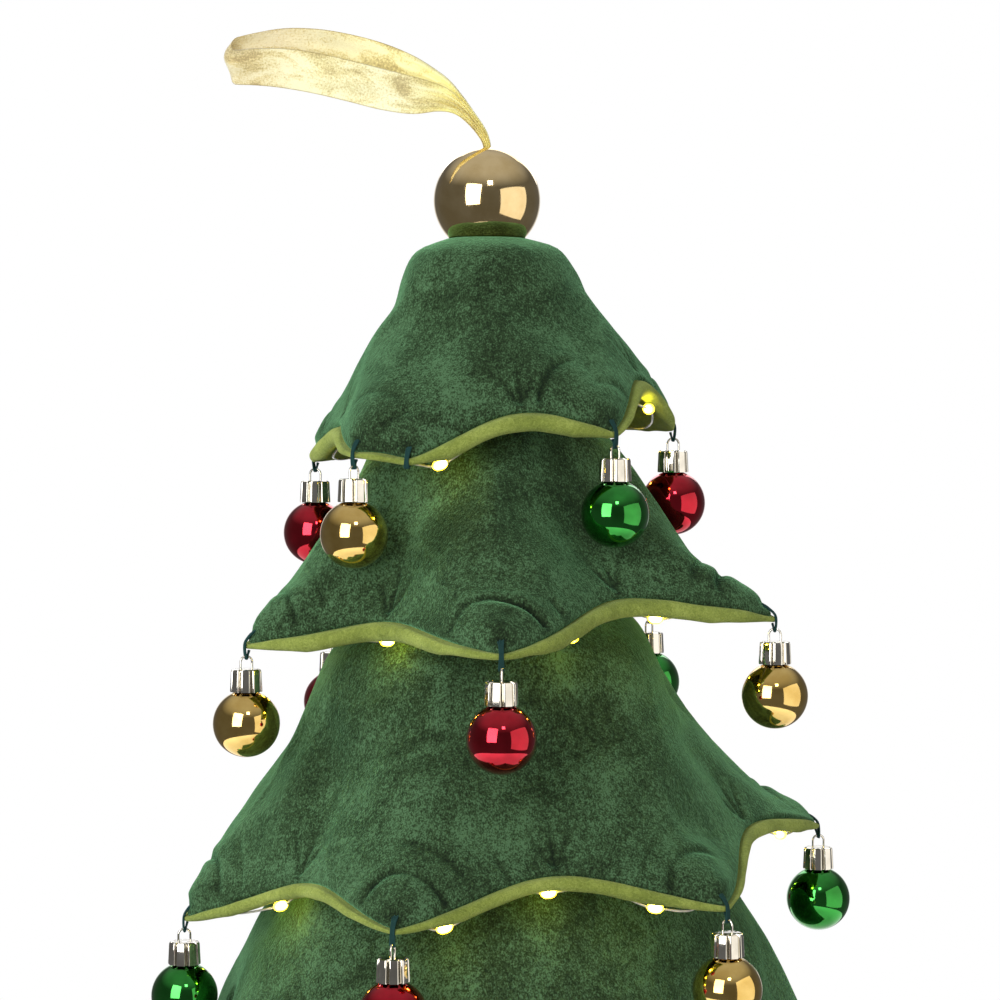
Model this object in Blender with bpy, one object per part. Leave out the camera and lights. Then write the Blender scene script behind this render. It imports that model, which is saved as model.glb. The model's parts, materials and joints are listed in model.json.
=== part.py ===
"""A tiered velvet christmas tree with hanging baubles, a light string and a battery base.

Metres, +Z up. The tree's axis is Z, its front faces -Y, and the underside of its base is z = 0.
An azimuth is 0 at the front and grows towards +X.
"""
import math
from collections import namedtuple
from functools import lru_cache

import bmesh
import bpy
from mathutils import Vector

# Fits between pieces
GAP = 0.0003
RING_SLACK = 0.0002
CLOTH_GAP = 0.0005

# Fineness of the meshes
SMOOTH_DEG = 40
CRISP_SMOOTH_DEG = 30
SOFT_SMOOTH_DEG = 60
WIRE_SIDES = 4
SLOPE_STEP_SHARE = 0.01
SLOPE_STEP_DEG = 1.0

# Battery box in the base, as large as its two cells, its cover and its switch need
CELL_R = 0.0052
CELL_LENGTH = 0.0430
CELL_NUB_R = 0.0019
CELL_NUB_H = 0.0010
CELL_STEPS = 12
DOOR_T = 0.0015
DOOR_END_LAP = 0.0019
DOOR_SIDE_LAP = 0.0010
SWITCH_LENGTH = 0.0050
SWITCH_WIDTH = 0.0028
SWITCH_H = 0.0014
SWITCH_TRAVEL = 0.0030
SWITCH_RIBS = 3
RIB_EDGE_SHARE = 0.2
WIRE_HOLE_R = 0.0016
BOX_WALL = 0.0014
BOX_LIP = 0.0016
BAY_LENGTH = CELL_LENGTH + CELL_NUB_H + GAP * 2
BAY_WIDTH = CELL_R * 4 + GAP * 4
DOOR_LENGTH = BAY_LENGTH + DOOR_END_LAP * 2
DOOR_WIDTH = BAY_WIDTH + DOOR_SIDE_LAP * 2
SLOT_WIDTH = SWITCH_WIDTH + GAP * 2
BOX_LENGTH = DOOR_LENGTH + GAP * 2 + BOX_WALL * 2
BOX_WIDTH = DOOR_WIDTH + GAP * 2 + SLOT_WIDTH + BOX_WALL * 3
BOX_H = BOX_WALL + CELL_R * 2 + DOOR_T + GAP * 3

# Base, trunk and stuffed core
TRUNK_R = 0.0165
BASE_RIM = 0.0076
BASE_TOP_T = 0.0032
BASE_EDGE_R = 0.004
BASE_H = BOX_LIP + BOX_H + BASE_TOP_T
BOX_CLEAR = 0.0014
BOX_Y = TRUNK_R + BOX_CLEAR + BOX_WIDTH / 2
BASE_R = math.hypot(BOX_LENGTH / 2, BOX_Y + BOX_WIDTH / 2) + BASE_RIM
TRUNK_TOP_R = 0.0145
TRUNK_TOP_Z = 0.088
DOWEL_R = 0.004
DOWEL_TIP_SHARE = 0.75
CORE_BOTTOM_R = 0.046
CORE_TOP_R = 0.0155
CORE_TOP_Z = 0.4032
CORE_EDGE_R = 0.006
GROOVE_W = 0.005
GROOVE_DEPTH = 0.0036
STAND_STEPS = 28
CORE_STEPS = 24

# Padded velvet skirts and their felt linings
SKIRT_T = 0.0058
HEM_T = 0.0030
LINING_T = 0.0026
PAD_TAPER_SHARE = 0.6
ROLL_R = 0.0032
ROLL_TUCK_SHARE = 0.75
TIP_ROLL_SHARE = 0.62
STAR_POWER = 1.3
ARCH_POWER = 1.25
FULL_ARCH_DEG = 55.0
STEPS_PER_TIP = 7
SKIRT_ROW_SHARES = (0.0, 0.07, 0.24, 0.44, 0.64, 0.84, 1.0)
SKIRT_INSIDE_SHARES = (0.9, 0.5, 0.16)
ROLL_TURNS_DEG = (60, -20, -100)
CROWN_HOLE_R = 0.0135

# Skirt outlines as shares of the way down and of the way out to the hem
CROWN_OUTLINE_SHARES = (
    (0.0, 0.02), (0.05, 0.19), (0.1, 0.27), (0.22, 0.36), (0.36, 0.44), (0.5, 0.55), (0.68, 0.73), (0.85, 0.88),
    (1.0, 1.0))
UPPER_OUTLINE_SHARES = (
    (0.0, 0.0), (0.07, 0.1), (0.25, 0.27), (0.5, 0.47), (0.75, 0.73), (0.9, 0.89), (1.0, 1.0))
MIDDLE_OUTLINE_SHARES = (
    (0.0, 0.0), (0.07, 0.14), (0.25, 0.35), (0.5, 0.52), (0.75, 0.73), (0.9, 0.88), (1.0, 1.0))
LOWEST_OUTLINE_SHARES = (
    (0.0, 0.0), (0.06, 0.14), (0.2, 0.33), (0.34, 0.46), (0.52, 0.61), (0.75, 0.8), (0.9, 0.91), (1.0, 1.0))

# One tier: its top, its hem at the points, and where the points and their baubles are.
# "out" is the hem's reach past the tier below, at the level of the baubles, and the lowest hem's own radius.
Tier = namedtuple("Tier", "name top_z hem_z out valley_share rise outline tips reaches droops baubles leds")
TIER_1_TOP_Z = CORE_TOP_Z + GAP + SKIRT_T
TIER_1_HEM_Z = 0.3364
TIER_1_OVERHANG = 0.0042
TIER_1_RISE = 0.0075
TIER_2_TOP_Z = 0.3542
TIER_2_HEM_Z = 0.2653
TIER_2_OVERHANG = 0.0267
TIER_2_RISE = 0.0085
TIER_3_TOP_Z = 0.2808
TIER_3_HEM_Z = 0.1724
TIER_3_OVERHANG = 0.0212
TIER_3_RISE = 0.0130
TIER_4_TOP_Z = 0.2065
TIER_4_HEM_Z = 0.0560
TIER_4_HEM_R = 0.1480
TIER_4_RISE = 0.0140
TIER_1_REACH_SHARES = (1.04, 1.05, 1.0, 1.04, 1.05, 1.04)
TIER_1_DROOP_SHARES = (0.09, 0.06, 0.09, -0.04, -0.07, 0.0)
TIER_2_REACH_SHARES = (0.99, 0.94, 1.01, 1.07, 0.99)
TIER_2_DROOP_SHARES = (0.06, 0.03, 0.02, -0.07, -0.03)
TIER_3_REACH_SHARES = (0.99, 0.95, 0.95, 1.0, 1.09, 1.01)
TIER_3_DROOP_SHARES = (0.12, 0.1, 0.02, -0.02, -0.14, -0.07)
TIER_4_REACH_SHARES = (0.99, 0.98, 1.0, 1.02, 1.0)
TIER_4_DROOP_SHARES = (0.02, 0.01, 0.02, -0.02, 0.0)
TIER_1_TIPS_DEG = (-112, -41, -24, 40, 102, 172)
TIER_2_TIPS_DEG = (-142, -66, 3, 76, 140)
TIER_3_TIPS_DEG = (-136, -76, -16, 44, 104, 164)
TIER_4_TIPS_DEG = (-118, -48, 14, 86, 162)
TIER_1_LEDS_DEG = (-75, -16, 74, 138)
TIER_2_LEDS_DEG = (-118, -86, -34, 24, 53, 112, 158)
TIER_3_LEDS_DEG = (-112, -55, -8, 14, 34, 90, 134, 156)
TIER_4_LEDS_DEG = (-150, -96, -70, -26, -2, 34, 62, 108, 138)
TIERS = (
    Tier(name="tier_1", top_z=TIER_1_TOP_Z, hem_z=TIER_1_HEM_Z, out=TIER_1_OVERHANG, valley_share=0.1,
         rise=TIER_1_RISE, outline=CROWN_OUTLINE_SHARES, tips=TIER_1_TIPS_DEG,
         reaches=TIER_1_REACH_SHARES, droops=TIER_1_DROOP_SHARES,
         baubles=("red", "gold", "", "green", "red", "gold"), leds=TIER_1_LEDS_DEG),
    Tier(name="tier_2", top_z=TIER_2_TOP_Z, hem_z=TIER_2_HEM_Z, out=TIER_2_OVERHANG, valley_share=0.3,
         rise=TIER_2_RISE, outline=UPPER_OUTLINE_SHARES, tips=TIER_2_TIPS_DEG,
         reaches=TIER_2_REACH_SHARES, droops=TIER_2_DROOP_SHARES,
         baubles=("red", "gold", "red", "gold", "green"), leds=TIER_2_LEDS_DEG),
    Tier(name="tier_3", top_z=TIER_3_TOP_Z, hem_z=TIER_3_HEM_Z, out=TIER_3_OVERHANG, valley_share=0.2,
         rise=TIER_3_RISE, outline=MIDDLE_OUTLINE_SHARES, tips=TIER_3_TIPS_DEG,
         reaches=TIER_3_REACH_SHARES, droops=TIER_3_DROOP_SHARES,
         baubles=("gold", "green", "red", "gold", "green", "red"), leds=TIER_3_LEDS_DEG),
    Tier(name="tier_4", top_z=TIER_4_TOP_Z, hem_z=TIER_4_HEM_Z, out=TIER_4_HEM_R, valley_share=0.2,
         rise=TIER_4_RISE, outline=LOWEST_OUTLINE_SHARES, tips=TIER_4_TIPS_DEG,
         reaches=TIER_4_REACH_SHARES, droops=TIER_4_DROOP_SHARES,
         baubles=("red", "gold", "green", "red", "gold"), leds=TIER_4_LEDS_DEG),
)

# Baubles: a ball with a neck, and a fluted cap with a wire ring
BALL_R = 0.0122
BALL_STEPS = 12
BALL_BANDS = 6
NECK_R = 0.0036
NECK_H = 0.0040
CAP_R = 0.0054
CAP_TAPER_SHARE = 0.94
CAP_FLUTE = 0.0006
CAP_H = 0.0094
CAP_POCKET_R = 0.0041
CAP_FLUTES = 8
RING_R = 0.0022
RING_WIRE_R = 0.0004
RING_LEG = 0.0012
THREAD_R = 0.0004
THREAD_HALF_W = 0.0019
THREAD_FLAT_SHARE = 0.7
RING_ARC_STEPS = 4

# Ball and ribbon on top
TOP_BALL_R = 0.0200
TOP_BALL_STEPS = 20
TOP_BALL_BANDS = 9
TOP_SOCKET_DEPTH = 0.0100
TOP_EYE_R = 0.0020
TOP_EYE_DEPTH = 0.0050
RIBBON_W = 0.0150
RIBBON_T = 0.0006
RIBBON_REACH = 0.0930
RIBBON_RISE = 0.0380
RIBBON_OPEN = 0.0090
RIBBON_OFFSET = 0.0075
RIBBON_END_STEPS = 4
# One layer of the loop, from the ball's eye to its far end: out, up, width and opening
RIBBON_ROUTE_SHARES = (
    (0.0, 0.0, 0.17, 0.12), (0.0, 0.14, 0.17, 0.12), (0.02, 0.26, 0.2, 0.12), (0.07, 0.42, 0.26, 0.14),
    (0.12, 0.54, 0.4, 0.2), (0.19, 0.64, 0.66, 0.42), (0.29, 0.71, 0.92, 0.72), (0.41, 0.8, 1.0, 0.94),
    (0.54, 0.89, 1.0, 1.0), (0.68, 0.96, 1.0, 0.94), (0.81, 0.99, 0.98, 0.8), (0.92, 0.98, 0.92, 0.62),
    (1.0, 0.96, 0.86, 0.5))

# Light string
WIRE_R = 0.0005
LED_R = 0.0020
LED_LENGTH = 0.0044
LED_PROFILE_SHARES = ((-1.3, 0.0), (-0.6, 1.0), (0.6, 1.0), (1.3, 0.0))
LED_CLEAR_SHARE = 3.0
WIRE_DROP = 0.0008
LED_DROP = 0.0034
WIRE_INSET = 0.0018
WIRE_TUCK = 0.0060
WIRE_STEP_DEG = 18
WIRE_ENTRY_DEG = 174
CLIMB_SPREAD = 0.0014
CLIMB_CLEARANCE = 0.0060


def clear_scene():
    for item in list(bpy.data.objects):
        bpy.data.objects.remove(item, do_unlink=True)


# Materials
def surface(name, color, roughness, metallic=0.0, emission=0.0):
    material = bpy.data.materials.new(name)
    material.use_nodes = True
    shader = material.node_tree.nodes["Principled BSDF"]
    shader.inputs["Base Color"].default_value = (*color, 1.0)
    shader.inputs["Roughness"].default_value = roughness
    shader.inputs["Metallic"].default_value = metallic
    shader.inputs["Emission Color"].default_value = (*color, 1.0)
    shader.inputs["Emission Strength"].default_value = emission
    return material


def make_materials():
    return {
        "velvet": surface("green velvet", (0.03, 0.10, 0.05), 0.9),
        "lining": surface("light green felt", (0.30, 0.38, 0.08), 0.95),
        "core": surface("stuffed cotton", (0.04, 0.09, 0.05), 0.95),
        "wood": surface("oiled wood", (0.32, 0.18, 0.09), 0.55),
        "red": surface("red metallic plastic", (0.50, 0.01, 0.03), 0.12, 0.9),
        "gold": surface("gold metallic plastic", (0.62, 0.42, 0.12), 0.12, 0.9),
        "green": surface("green metallic plastic", (0.02, 0.25, 0.03), 0.12, 0.9),
        "champagne": surface("champagne metallic plastic", (0.70, 0.55, 0.30), 0.1, 0.95),
        "cap": surface("silvered cap", (0.80, 0.78, 0.74), 0.15, 1.0),
        "ribbon": surface("gold organza ribbon", (0.75, 0.62, 0.28), 0.35, 0.5),
        "wire": surface("light string", (0.90, 0.80, 0.45), 0.3, 0.0, 0.5),
        "plastic": surface("black plastic", (0.02, 0.02, 0.02), 0.5),
        "cell": surface("battery cell", (0.25, 0.25, 0.27), 0.35, 0.8),
    }


# Shared shape helpers
def around(azimuth_deg, radius, height):
    turn = math.radians(azimuth_deg)
    return Vector((radius * math.sin(turn), -radius * math.cos(turn), height))


def add_object(name, mesh, material):
    item = bpy.data.objects.new(name, mesh)
    if not mesh.materials:
        mesh.materials.append(material)
    bpy.context.scene.collection.objects.link(item)
    return item


def finish_mesh(bm, name, smooth_deg=SMOOTH_DEG):
    bmesh.ops.recalc_face_normals(bm, faces=bm.faces)
    mesh = bpy.data.meshes.new(name)
    bm.to_mesh(mesh)
    bm.free()
    mesh.shade_smooth()
    mesh.set_sharp_from_angle(angle=math.radians(smooth_deg))
    return mesh


def bridge(bm, ring_a, ring_b):
    count = len(ring_a)
    for i in range(count):
        k = (i + 1) % count
        bm.faces.new((ring_a[i], ring_a[k], ring_b[k], ring_b[i]))


def turned(bm, profile, steps, closed=False):
    """Turn (radius, height) pairs round Z; an end of radius zero is a single point."""
    rings = []
    for radius, height in profile:
        if radius == 0:
            rings.append([bm.verts.new((0, 0, height))])
        else:
            rings.append([bm.verts.new(around(360 * i / steps, radius, height)) for i in range(steps)])
    pairs = list(zip(rings, rings[1:]))
    if closed:
        pairs.append((rings[-1], rings[0]))
    for low, high in pairs:
        if len(low) == 1 or len(high) == 1:
            point = low[0] if len(low) == 1 else high[0]
            ring = high if len(low) == 1 else low
            for i in range(steps):
                bm.faces.new((point, ring[i], ring[(i + 1) % steps]))
        else:
            bridge(bm, low, high)


def turned_mesh(name, profile, steps, closed=False):
    bm = bmesh.new()
    turned(bm, profile, steps, closed)
    return finish_mesh(bm, name)


def swept(bm, sections):
    """Join a row of equal point loops into a tube with flat ends."""
    loops = [[bm.verts.new(point) for point in section] for section in sections]
    for loop_a, loop_b in zip(loops, loops[1:]):
        bridge(bm, loop_a, loop_b)
    bm.faces.new(loops[0])
    bm.faces.new(list(reversed(loops[-1])))


def tube(bm, points, radii, start_side):
    """A tube of changing radius along points, its sections square to the path."""
    sections = []
    side = start_side.normalized()
    for i, point in enumerate(points):
        ahead = points[min(i + 1, len(points) - 1)]
        behind = points[max(i - 1, 0)]
        along = (ahead - behind).normalized()
        side = (side - along * side.dot(along)).normalized()
        up = along.cross(side)
        ring = []
        for k in range(WIRE_SIDES):
            turn = 2 * math.pi * (k + 0.5) / WIRE_SIDES
            ring.append(point + (side * math.cos(turn) + up * math.sin(turn)) * radii[i])
        sections.append(ring)
    swept(bm, sections)


def box_mesh(name, size, centre=(0, 0, 0)):
    bm = bmesh.new()
    bmesh.ops.create_cube(bm, size=1)
    bmesh.ops.scale(bm, verts=bm.verts, vec=size)
    bmesh.ops.translate(bm, verts=bm.verts, vec=centre)
    return finish_mesh(bm, name, CRISP_SMOOTH_DEG)


def guide(name, mesh):
    item = bpy.data.objects.new(name, mesh)
    bpy.context.scene.collection.objects.link(item)
    item.hide_render = True
    item.display_type = "WIRE"
    return item


def combine(item, other, operation):
    modifier = item.modifiers.new(operation.lower(), "BOOLEAN")
    modifier.operation = operation
    modifier.solver = "EXACT"
    modifier.object = other


def blend(pairs, share):
    """Read a table of (place, value) pairs with smooth steps of steady slope between them."""
    count = len(pairs)
    slopes = []
    for i in range(count):
        low = pairs[max(i - 1, 0)]
        high = pairs[min(i + 1, count - 1)]
        slopes.append((high[1] - low[1]) / (high[0] - low[0]))
    for i in range(count - 1):
        (x0, y0), (x1, y1) = pairs[i], pairs[i + 1]
        if share <= x1 or i == count - 2:
            width = x1 - x0
            u = (share - x0) / width
            rise_0 = slopes[i] * width
            rise_1 = slopes[i + 1] * width
            return (y0 * (1 + 2 * u) * (1 - u) ** 2 + y1 * u * u * (3 - 2 * u)
                    + rise_0 * u * (1 - u) ** 2 - rise_1 * u * u * (1 - u))
    return pairs[-1][1]


# Core
def core_radius(height):
    share = (CORE_TOP_Z - height) / (CORE_TOP_Z - TRUNK_TOP_Z)
    return CORE_TOP_R + (CORE_BOTTOM_R - CORE_TOP_R) * share


def groove_ring(radius):
    """One outline of the core, with the wire's groove at the back."""
    half = math.degrees(math.asin(GROOVE_W / 2 / radius))
    first = 180 + half
    step = (360 - 2 * half) / CORE_STEPS
    outline = [around(first + step * i, radius, 0) for i in range(CORE_STEPS + 1)]
    floor = radius - GROOVE_DEPTH
    outline.append(Vector((GROOVE_W / 2, floor, 0)))
    outline.append(Vector((-GROOVE_W / 2, floor, 0)))
    return outline


def make_core(materials):
    bottom_z = TRUNK_TOP_Z + GAP
    levels = (
        (bottom_z, core_radius(bottom_z) - CORE_EDGE_R / 2),
        (bottom_z + CORE_EDGE_R / 2, core_radius(bottom_z + CORE_EDGE_R / 2)),
        (CORE_TOP_Z, CORE_TOP_R),
    )
    bm = bmesh.new()
    sections = [[p + Vector((0, 0, z)) for p in groove_ring(r)] for z, r in levels]
    swept(bm, sections)
    core = add_object("core", finish_mesh(bm, "core"), materials["core"])
    bore = guide("core_bore", turned_mesh("core_bore", (
        (0, bottom_z - GAP), (DOWEL_R + GAP, bottom_z - GAP),
        (DOWEL_R + GAP, CORE_TOP_Z + GAP), (0, CORE_TOP_Z + GAP)), CELL_STEPS))
    combine(core, bore, "DIFFERENCE")


# Skirts and linings
def inner_start(tier):
    if tier is TIERS[0]:
        return CROWN_HOLE_R
    return core_radius(tier.top_z) + GAP + SKIRT_T


@lru_cache
def hem_radius(tier):
    """Far enough out for the baubles to hang clear of the tier below."""
    if tier is TIERS[-1]:
        return tier.out
    below = TIERS[TIERS.index(tier) + 1]
    level = tier.hem_z - ROLL_R * 2 - ball_drop()
    share = (below.top_z - level) / (below.top_z - below.hem_z)
    start = inner_start(below)
    return start + (hem_radius(below) - start) * blend(below.outline, share) + tier.out


def hem_at(tier, azimuth):
    """Hem reach, hem height, and how far into the arch between two points (0 at a point)."""
    count = len(tier.tips)
    for i in range(count):
        start = tier.tips[i]
        end = tier.tips[(i + 1) % count]
        span = (end - start) % 360
        offset = (azimuth - start) % 360
        if offset <= span:
            break
    k = (i + 1) % count
    u = offset / span
    ease = u * u * (3 - 2 * u)
    reach = hem_radius(tier) * (tier.reaches[i] * (1 - ease) + tier.reaches[k] * ease)
    fall = tier.top_z - tier.hem_z
    droop = tier.droops[i] * (1 - ease) + tier.droops[k] * ease
    arch = math.sin(math.pi * u) ** ARCH_POWER * min(1.0, span / FULL_ARCH_DEG) ** 2
    return reach, tier.hem_z - droop * fall + tier.rise * arch, arch


def skirt_point(tier, azimuth, share):
    """Radius and height of the velvet's outer face, from its top (0) to its hem (1)."""
    reach, hem_z, arch = hem_at(tier, azimuth)
    start = inner_start(tier)
    radius = start + (reach - start) * blend(tier.outline, share)
    radius -= reach * tier.valley_share * arch * share ** STAR_POWER
    return Vector((radius, tier.top_z + (hem_z - tier.top_z) * share))


def skirt_frame(tier, azimuth, share):
    """The face's own directions in the upright plane: down along it, and out of it."""
    high = skirt_point(tier, azimuth, max(share - SLOPE_STEP_SHARE, 0))
    low = skirt_point(tier, azimuth, min(share + SLOPE_STEP_SHARE, 1))
    down = (low - high).normalized()
    return down, Vector((-down.y, down.x))


def slant(tier, azimuth, share):
    """How much a depth measured in the upright plane is stretched by the face's turn."""
    ahead = skirt_point(tier, azimuth + SLOPE_STEP_DEG, share)
    behind = skirt_point(tier, azimuth - SLOPE_STEP_DEG, share)
    here = skirt_point(tier, azimuth, share)
    out = skirt_frame(tier, azimuth, share)[1]
    sideways = (ahead - behind).dot(out) / (2 * math.radians(SLOPE_STEP_DEG) * here.x)
    return math.sqrt(1 + sideways ** 2)


def inward(tier, azimuth, share, depth):
    out = skirt_frame(tier, azimuth, share)[1]
    return skirt_point(tier, azimuth, share) - out * depth * slant(tier, azimuth, share)


def skirt_depth(share):
    """Padding thickness, thinner at the sewn hem."""
    return SKIRT_T + (HEM_T - SKIRT_T) * max(0.0, share - PAD_TAPER_SHARE) / (1 - PAD_TAPER_SHARE)


def skirt_section(tier, azimuth):
    points = [skirt_point(tier, azimuth, share) for share in SKIRT_ROW_SHARES]
    down = skirt_frame(tier, azimuth, 1)[0]
    points.append(inward(tier, azimuth, 1, HEM_T / 2) + down * HEM_T / 2)
    points.append(inward(tier, azimuth, 1, HEM_T))
    for share in SKIRT_INSIDE_SHARES:
        points.append(inward(tier, azimuth, share, skirt_depth(share)))
    if tier is TIERS[0]:
        points.append(Vector((CORE_TOP_R + GAP * 2, tier.top_z - SKIRT_T)))
        points.append(Vector((CROWN_HOLE_R, tier.top_z - SKIRT_T)))
    else:
        points.append(Vector((core_radius(tier.top_z) + GAP, tier.top_z)))
    return points


def clear_of_tip(tier, azimuth):
    """Zero at a pinched point, and one from half way up the arch."""
    return min(1.0, 2 * hem_at(tier, azimuth)[2])


def roll_radius(tier, azimuth):
    return ROLL_R * (TIP_ROLL_SHARE + (1 - TIP_ROLL_SHARE) * clear_of_tip(tier, azimuth))


def roll_centre(tier, azimuth):
    """Middle of the rolled lower edge of the lining, just under the velvet's hem."""
    roll = roll_radius(tier, azimuth)
    down = skirt_frame(tier, azimuth, 1)[0]
    depth = max(HEM_T / 2, roll * ROLL_TUCK_SHARE)
    return inward(tier, azimuth, 1, depth) + down * (HEM_T / 2 + CLOTH_GAP + roll)


def lining_section(tier, azimuth):
    roll = roll_radius(tier, azimuth)
    centre = roll_centre(tier, azimuth)
    down, out = skirt_frame(tier, azimuth, 1)
    points = []
    for share in reversed(SKIRT_INSIDE_SHARES):
        points.append(inward(tier, azimuth, share, skirt_depth(share) + CLOTH_GAP))
    points.append(inward(tier, azimuth, 1, HEM_T + CLOTH_GAP) + down * HEM_T / 4)
    for turn in ROLL_TURNS_DEG:
        angle = math.radians(turn)
        points.append(centre + (out * math.cos(angle) - down * math.sin(angle)) * roll)
    for share in SKIRT_INSIDE_SHARES:
        points.append(inward(tier, azimuth, share, skirt_depth(share) + CLOTH_GAP + LINING_T))
    return points


def tier_azimuths(tier):
    """Sections are closest together at the points, where the hem turns."""
    azimuths = []
    count = len(tier.tips)
    for i in range(count):
        span = (tier.tips[(i + 1) % count] - tier.tips[i]) % 360
        steps = max(2, round(STEPS_PER_TIP * span / (360 / len(tier.baubles))))
        azimuths += [tier.tips[i] + span * k / steps for k in range(steps)]
    return azimuths


def ring_body(name, tier, section, material):
    """Sweep a closed section round the tree, one section for each azimuth."""
    bm = bmesh.new()
    loops = []
    for azimuth in tier_azimuths(tier):
        loops.append([bm.verts.new(around(azimuth, p.x, p.y)) for p in section(tier, azimuth)])
    for i, loop in enumerate(loops):
        bridge(bm, loop, loops[(i + 1) % len(loops)])
    bmesh.ops.triangulate(bm, faces=bm.faces, quad_method="SHORT_EDGE")
    return add_object(name, finish_mesh(bm, name, SOFT_SMOOTH_DEG), material)


def hook_point(tier, azimuth):
    """Where a bauble's ring hangs in its thread, below the lining's roll."""
    centre = roll_centre(tier, azimuth)
    drop = roll_radius(tier, azimuth) + GAP * 2 + RING_WIRE_R * 2 + THREAD_R
    return around(azimuth, centre.x, centre.y - drop)


def thread_loops(tier):
    """The sewn thread that carries each bauble: down from the lining, through the ring, and back up."""
    bm = bmesh.new()
    for azimuth, colour in zip(tier.tips, tier.baubles):
        if not colour:
            continue
        hook = hook_point(tier, azimuth)
        across = around(azimuth + 90, 1, 0)
        top = Vector((0, 0, roll_radius(tier, azimuth) + RING_WIRE_R * 2))
        side = across * THREAD_HALF_W
        flat = side * THREAD_FLAT_SHARE
        path = [hook - side + top, hook - flat, hook + flat, hook + side + top]
        tube(bm, path, [THREAD_R] * len(path), around(azimuth, 1, 0))
    return guide(tier.name + "_threads", finish_mesh(bm, tier.name + "_threads"))


def make_tier(tier, materials):
    ring_body(tier.name + "_skirt", tier, skirt_section, materials["velvet"])
    lining = ring_body(tier.name + "_lining", tier, lining_section, materials["lining"])
    combine(lining, thread_loops(tier), "UNION")


# Baubles
def ball_mesh():
    """The ball and its neck, with the ring's pivot as origin."""
    centre = -ball_drop()
    neck_angle = math.degrees(math.asin(NECK_R / BALL_R))
    profile = [(0, centre - BALL_R)]
    for band in range(1, BALL_BANDS):
        turn = math.radians(-90 + (180 - neck_angle) * band / BALL_BANDS)
        profile.append((BALL_R * math.cos(turn), centre + BALL_R * math.sin(turn)))
    shoulder = centre + BALL_R * math.cos(math.radians(neck_angle))
    profile += [(NECK_R, shoulder), (NECK_R, shoulder + NECK_H), (0, shoulder + NECK_H)]
    return turned_mesh("bauble_ball", profile, BALL_STEPS)


def cap_top():
    """Height of the cap's flat top below the pivot."""
    return -(RING_R + RING_LEG + RING_SLACK)


def ball_drop():
    """How far the ball's centre hangs below the pivot."""
    rim = math.sqrt(BALL_R ** 2 - (CAP_R - CAP_FLUTE) ** 2)
    return -cap_top() + CAP_H + rim - CAP_FLUTE


def fluted_ring(bm, radius, flute, height):
    ring = []
    for i in range(CAP_FLUTES * 2):
        out = radius + (flute if i % 2 else -flute)
        ring.append(bm.verts.new(around(180 * i / CAP_FLUTES, out, height)))
    return ring


def plain_ring(bm, radius, height):
    return [bm.verts.new(around(180 * i / CAP_FLUTES, radius, height)) for i in range(CAP_FLUTES * 2)]


def cap_mesh():
    """A fluted cup over the ball's neck, its rim on the ball, with the ring's wire on top."""
    top = cap_top()
    centre = -ball_drop()
    rim_z = centre + math.sqrt((BALL_R + GAP) ** 2 - (CAP_R - CAP_FLUTE) ** 2)
    pocket_rim_z = centre + math.sqrt((BALL_R + GAP) ** 2 - CAP_POCKET_R ** 2)
    pocket_z = centre + BALL_R + NECK_H + GAP
    bm = bmesh.new()
    rings = [
        fluted_ring(bm, CAP_R * CAP_TAPER_SHARE, CAP_FLUTE, top),
        fluted_ring(bm, CAP_R, CAP_FLUTE, rim_z),
        plain_ring(bm, CAP_POCKET_R, pocket_rim_z + GAP),
        plain_ring(bm, CAP_POCKET_R, pocket_z),
    ]
    for ring_a, ring_b in zip(rings, rings[1:]):
        bridge(bm, ring_a, ring_b)
    bm.faces.new(rings[0])
    bm.faces.new(list(reversed(rings[-1])))
    return finish_mesh(bm, "bauble_cap", CRISP_SMOOTH_DEG)


def ring_guide():
    """The wire ring: an arch that stands on the cap, in the plane that faces out from the tree."""
    middle = -RING_R + RING_WIRE_R + RING_SLACK + THREAD_R
    path = [Vector((0, RING_R, cap_top() - RING_WIRE_R))]
    for step in range(RING_ARC_STEPS + 1):
        turn = math.pi * step / RING_ARC_STEPS
        path.append(Vector((0, RING_R * math.cos(turn), middle + RING_R * math.sin(turn))))
    path.append(Vector((0, -RING_R, cap_top() - RING_WIRE_R)))
    bm = bmesh.new()
    tube(bm, path, [RING_WIRE_R] * len(path), Vector((1, 0, 0)))
    return guide("bauble_ring", finish_mesh(bm, "bauble_ring"))


def joined_cap_mesh():
    """The cap and its ring as one solid, worked out once and shared by every bauble."""
    cap = guide("cap_blank", cap_mesh())
    ring = ring_guide()
    combine(cap, ring, "UNION")
    graph = bpy.context.evaluated_depsgraph_get()
    mesh = bpy.data.meshes.new_from_object(cap.evaluated_get(graph))
    mesh.name = "bauble_cap_with_ring"
    return mesh


def make_baubles(tier, materials, balls, cap):
    number = 0
    for azimuth, colour in zip(tier.tips, tier.baubles):
        if not colour:
            continue
        number += 1
        stem = tier.name + "_bauble_" + str(number)
        pivot = bpy.data.objects.new(stem + "_pivot", None)
        bpy.context.scene.collection.objects.link(pivot)
        pivot.location = hook_point(tier, azimuth)
        pivot.rotation_euler = (0, 0, math.radians(azimuth))
        for item in (add_object(stem + "_ball", balls[colour], materials[colour]),
                     add_object(stem + "_cap", cap, materials["cap"])):
            item.parent = pivot


# Top ball and ribbon
def top_ball_z():
    return CORE_TOP_Z + GAP + TOP_BALL_R


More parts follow.
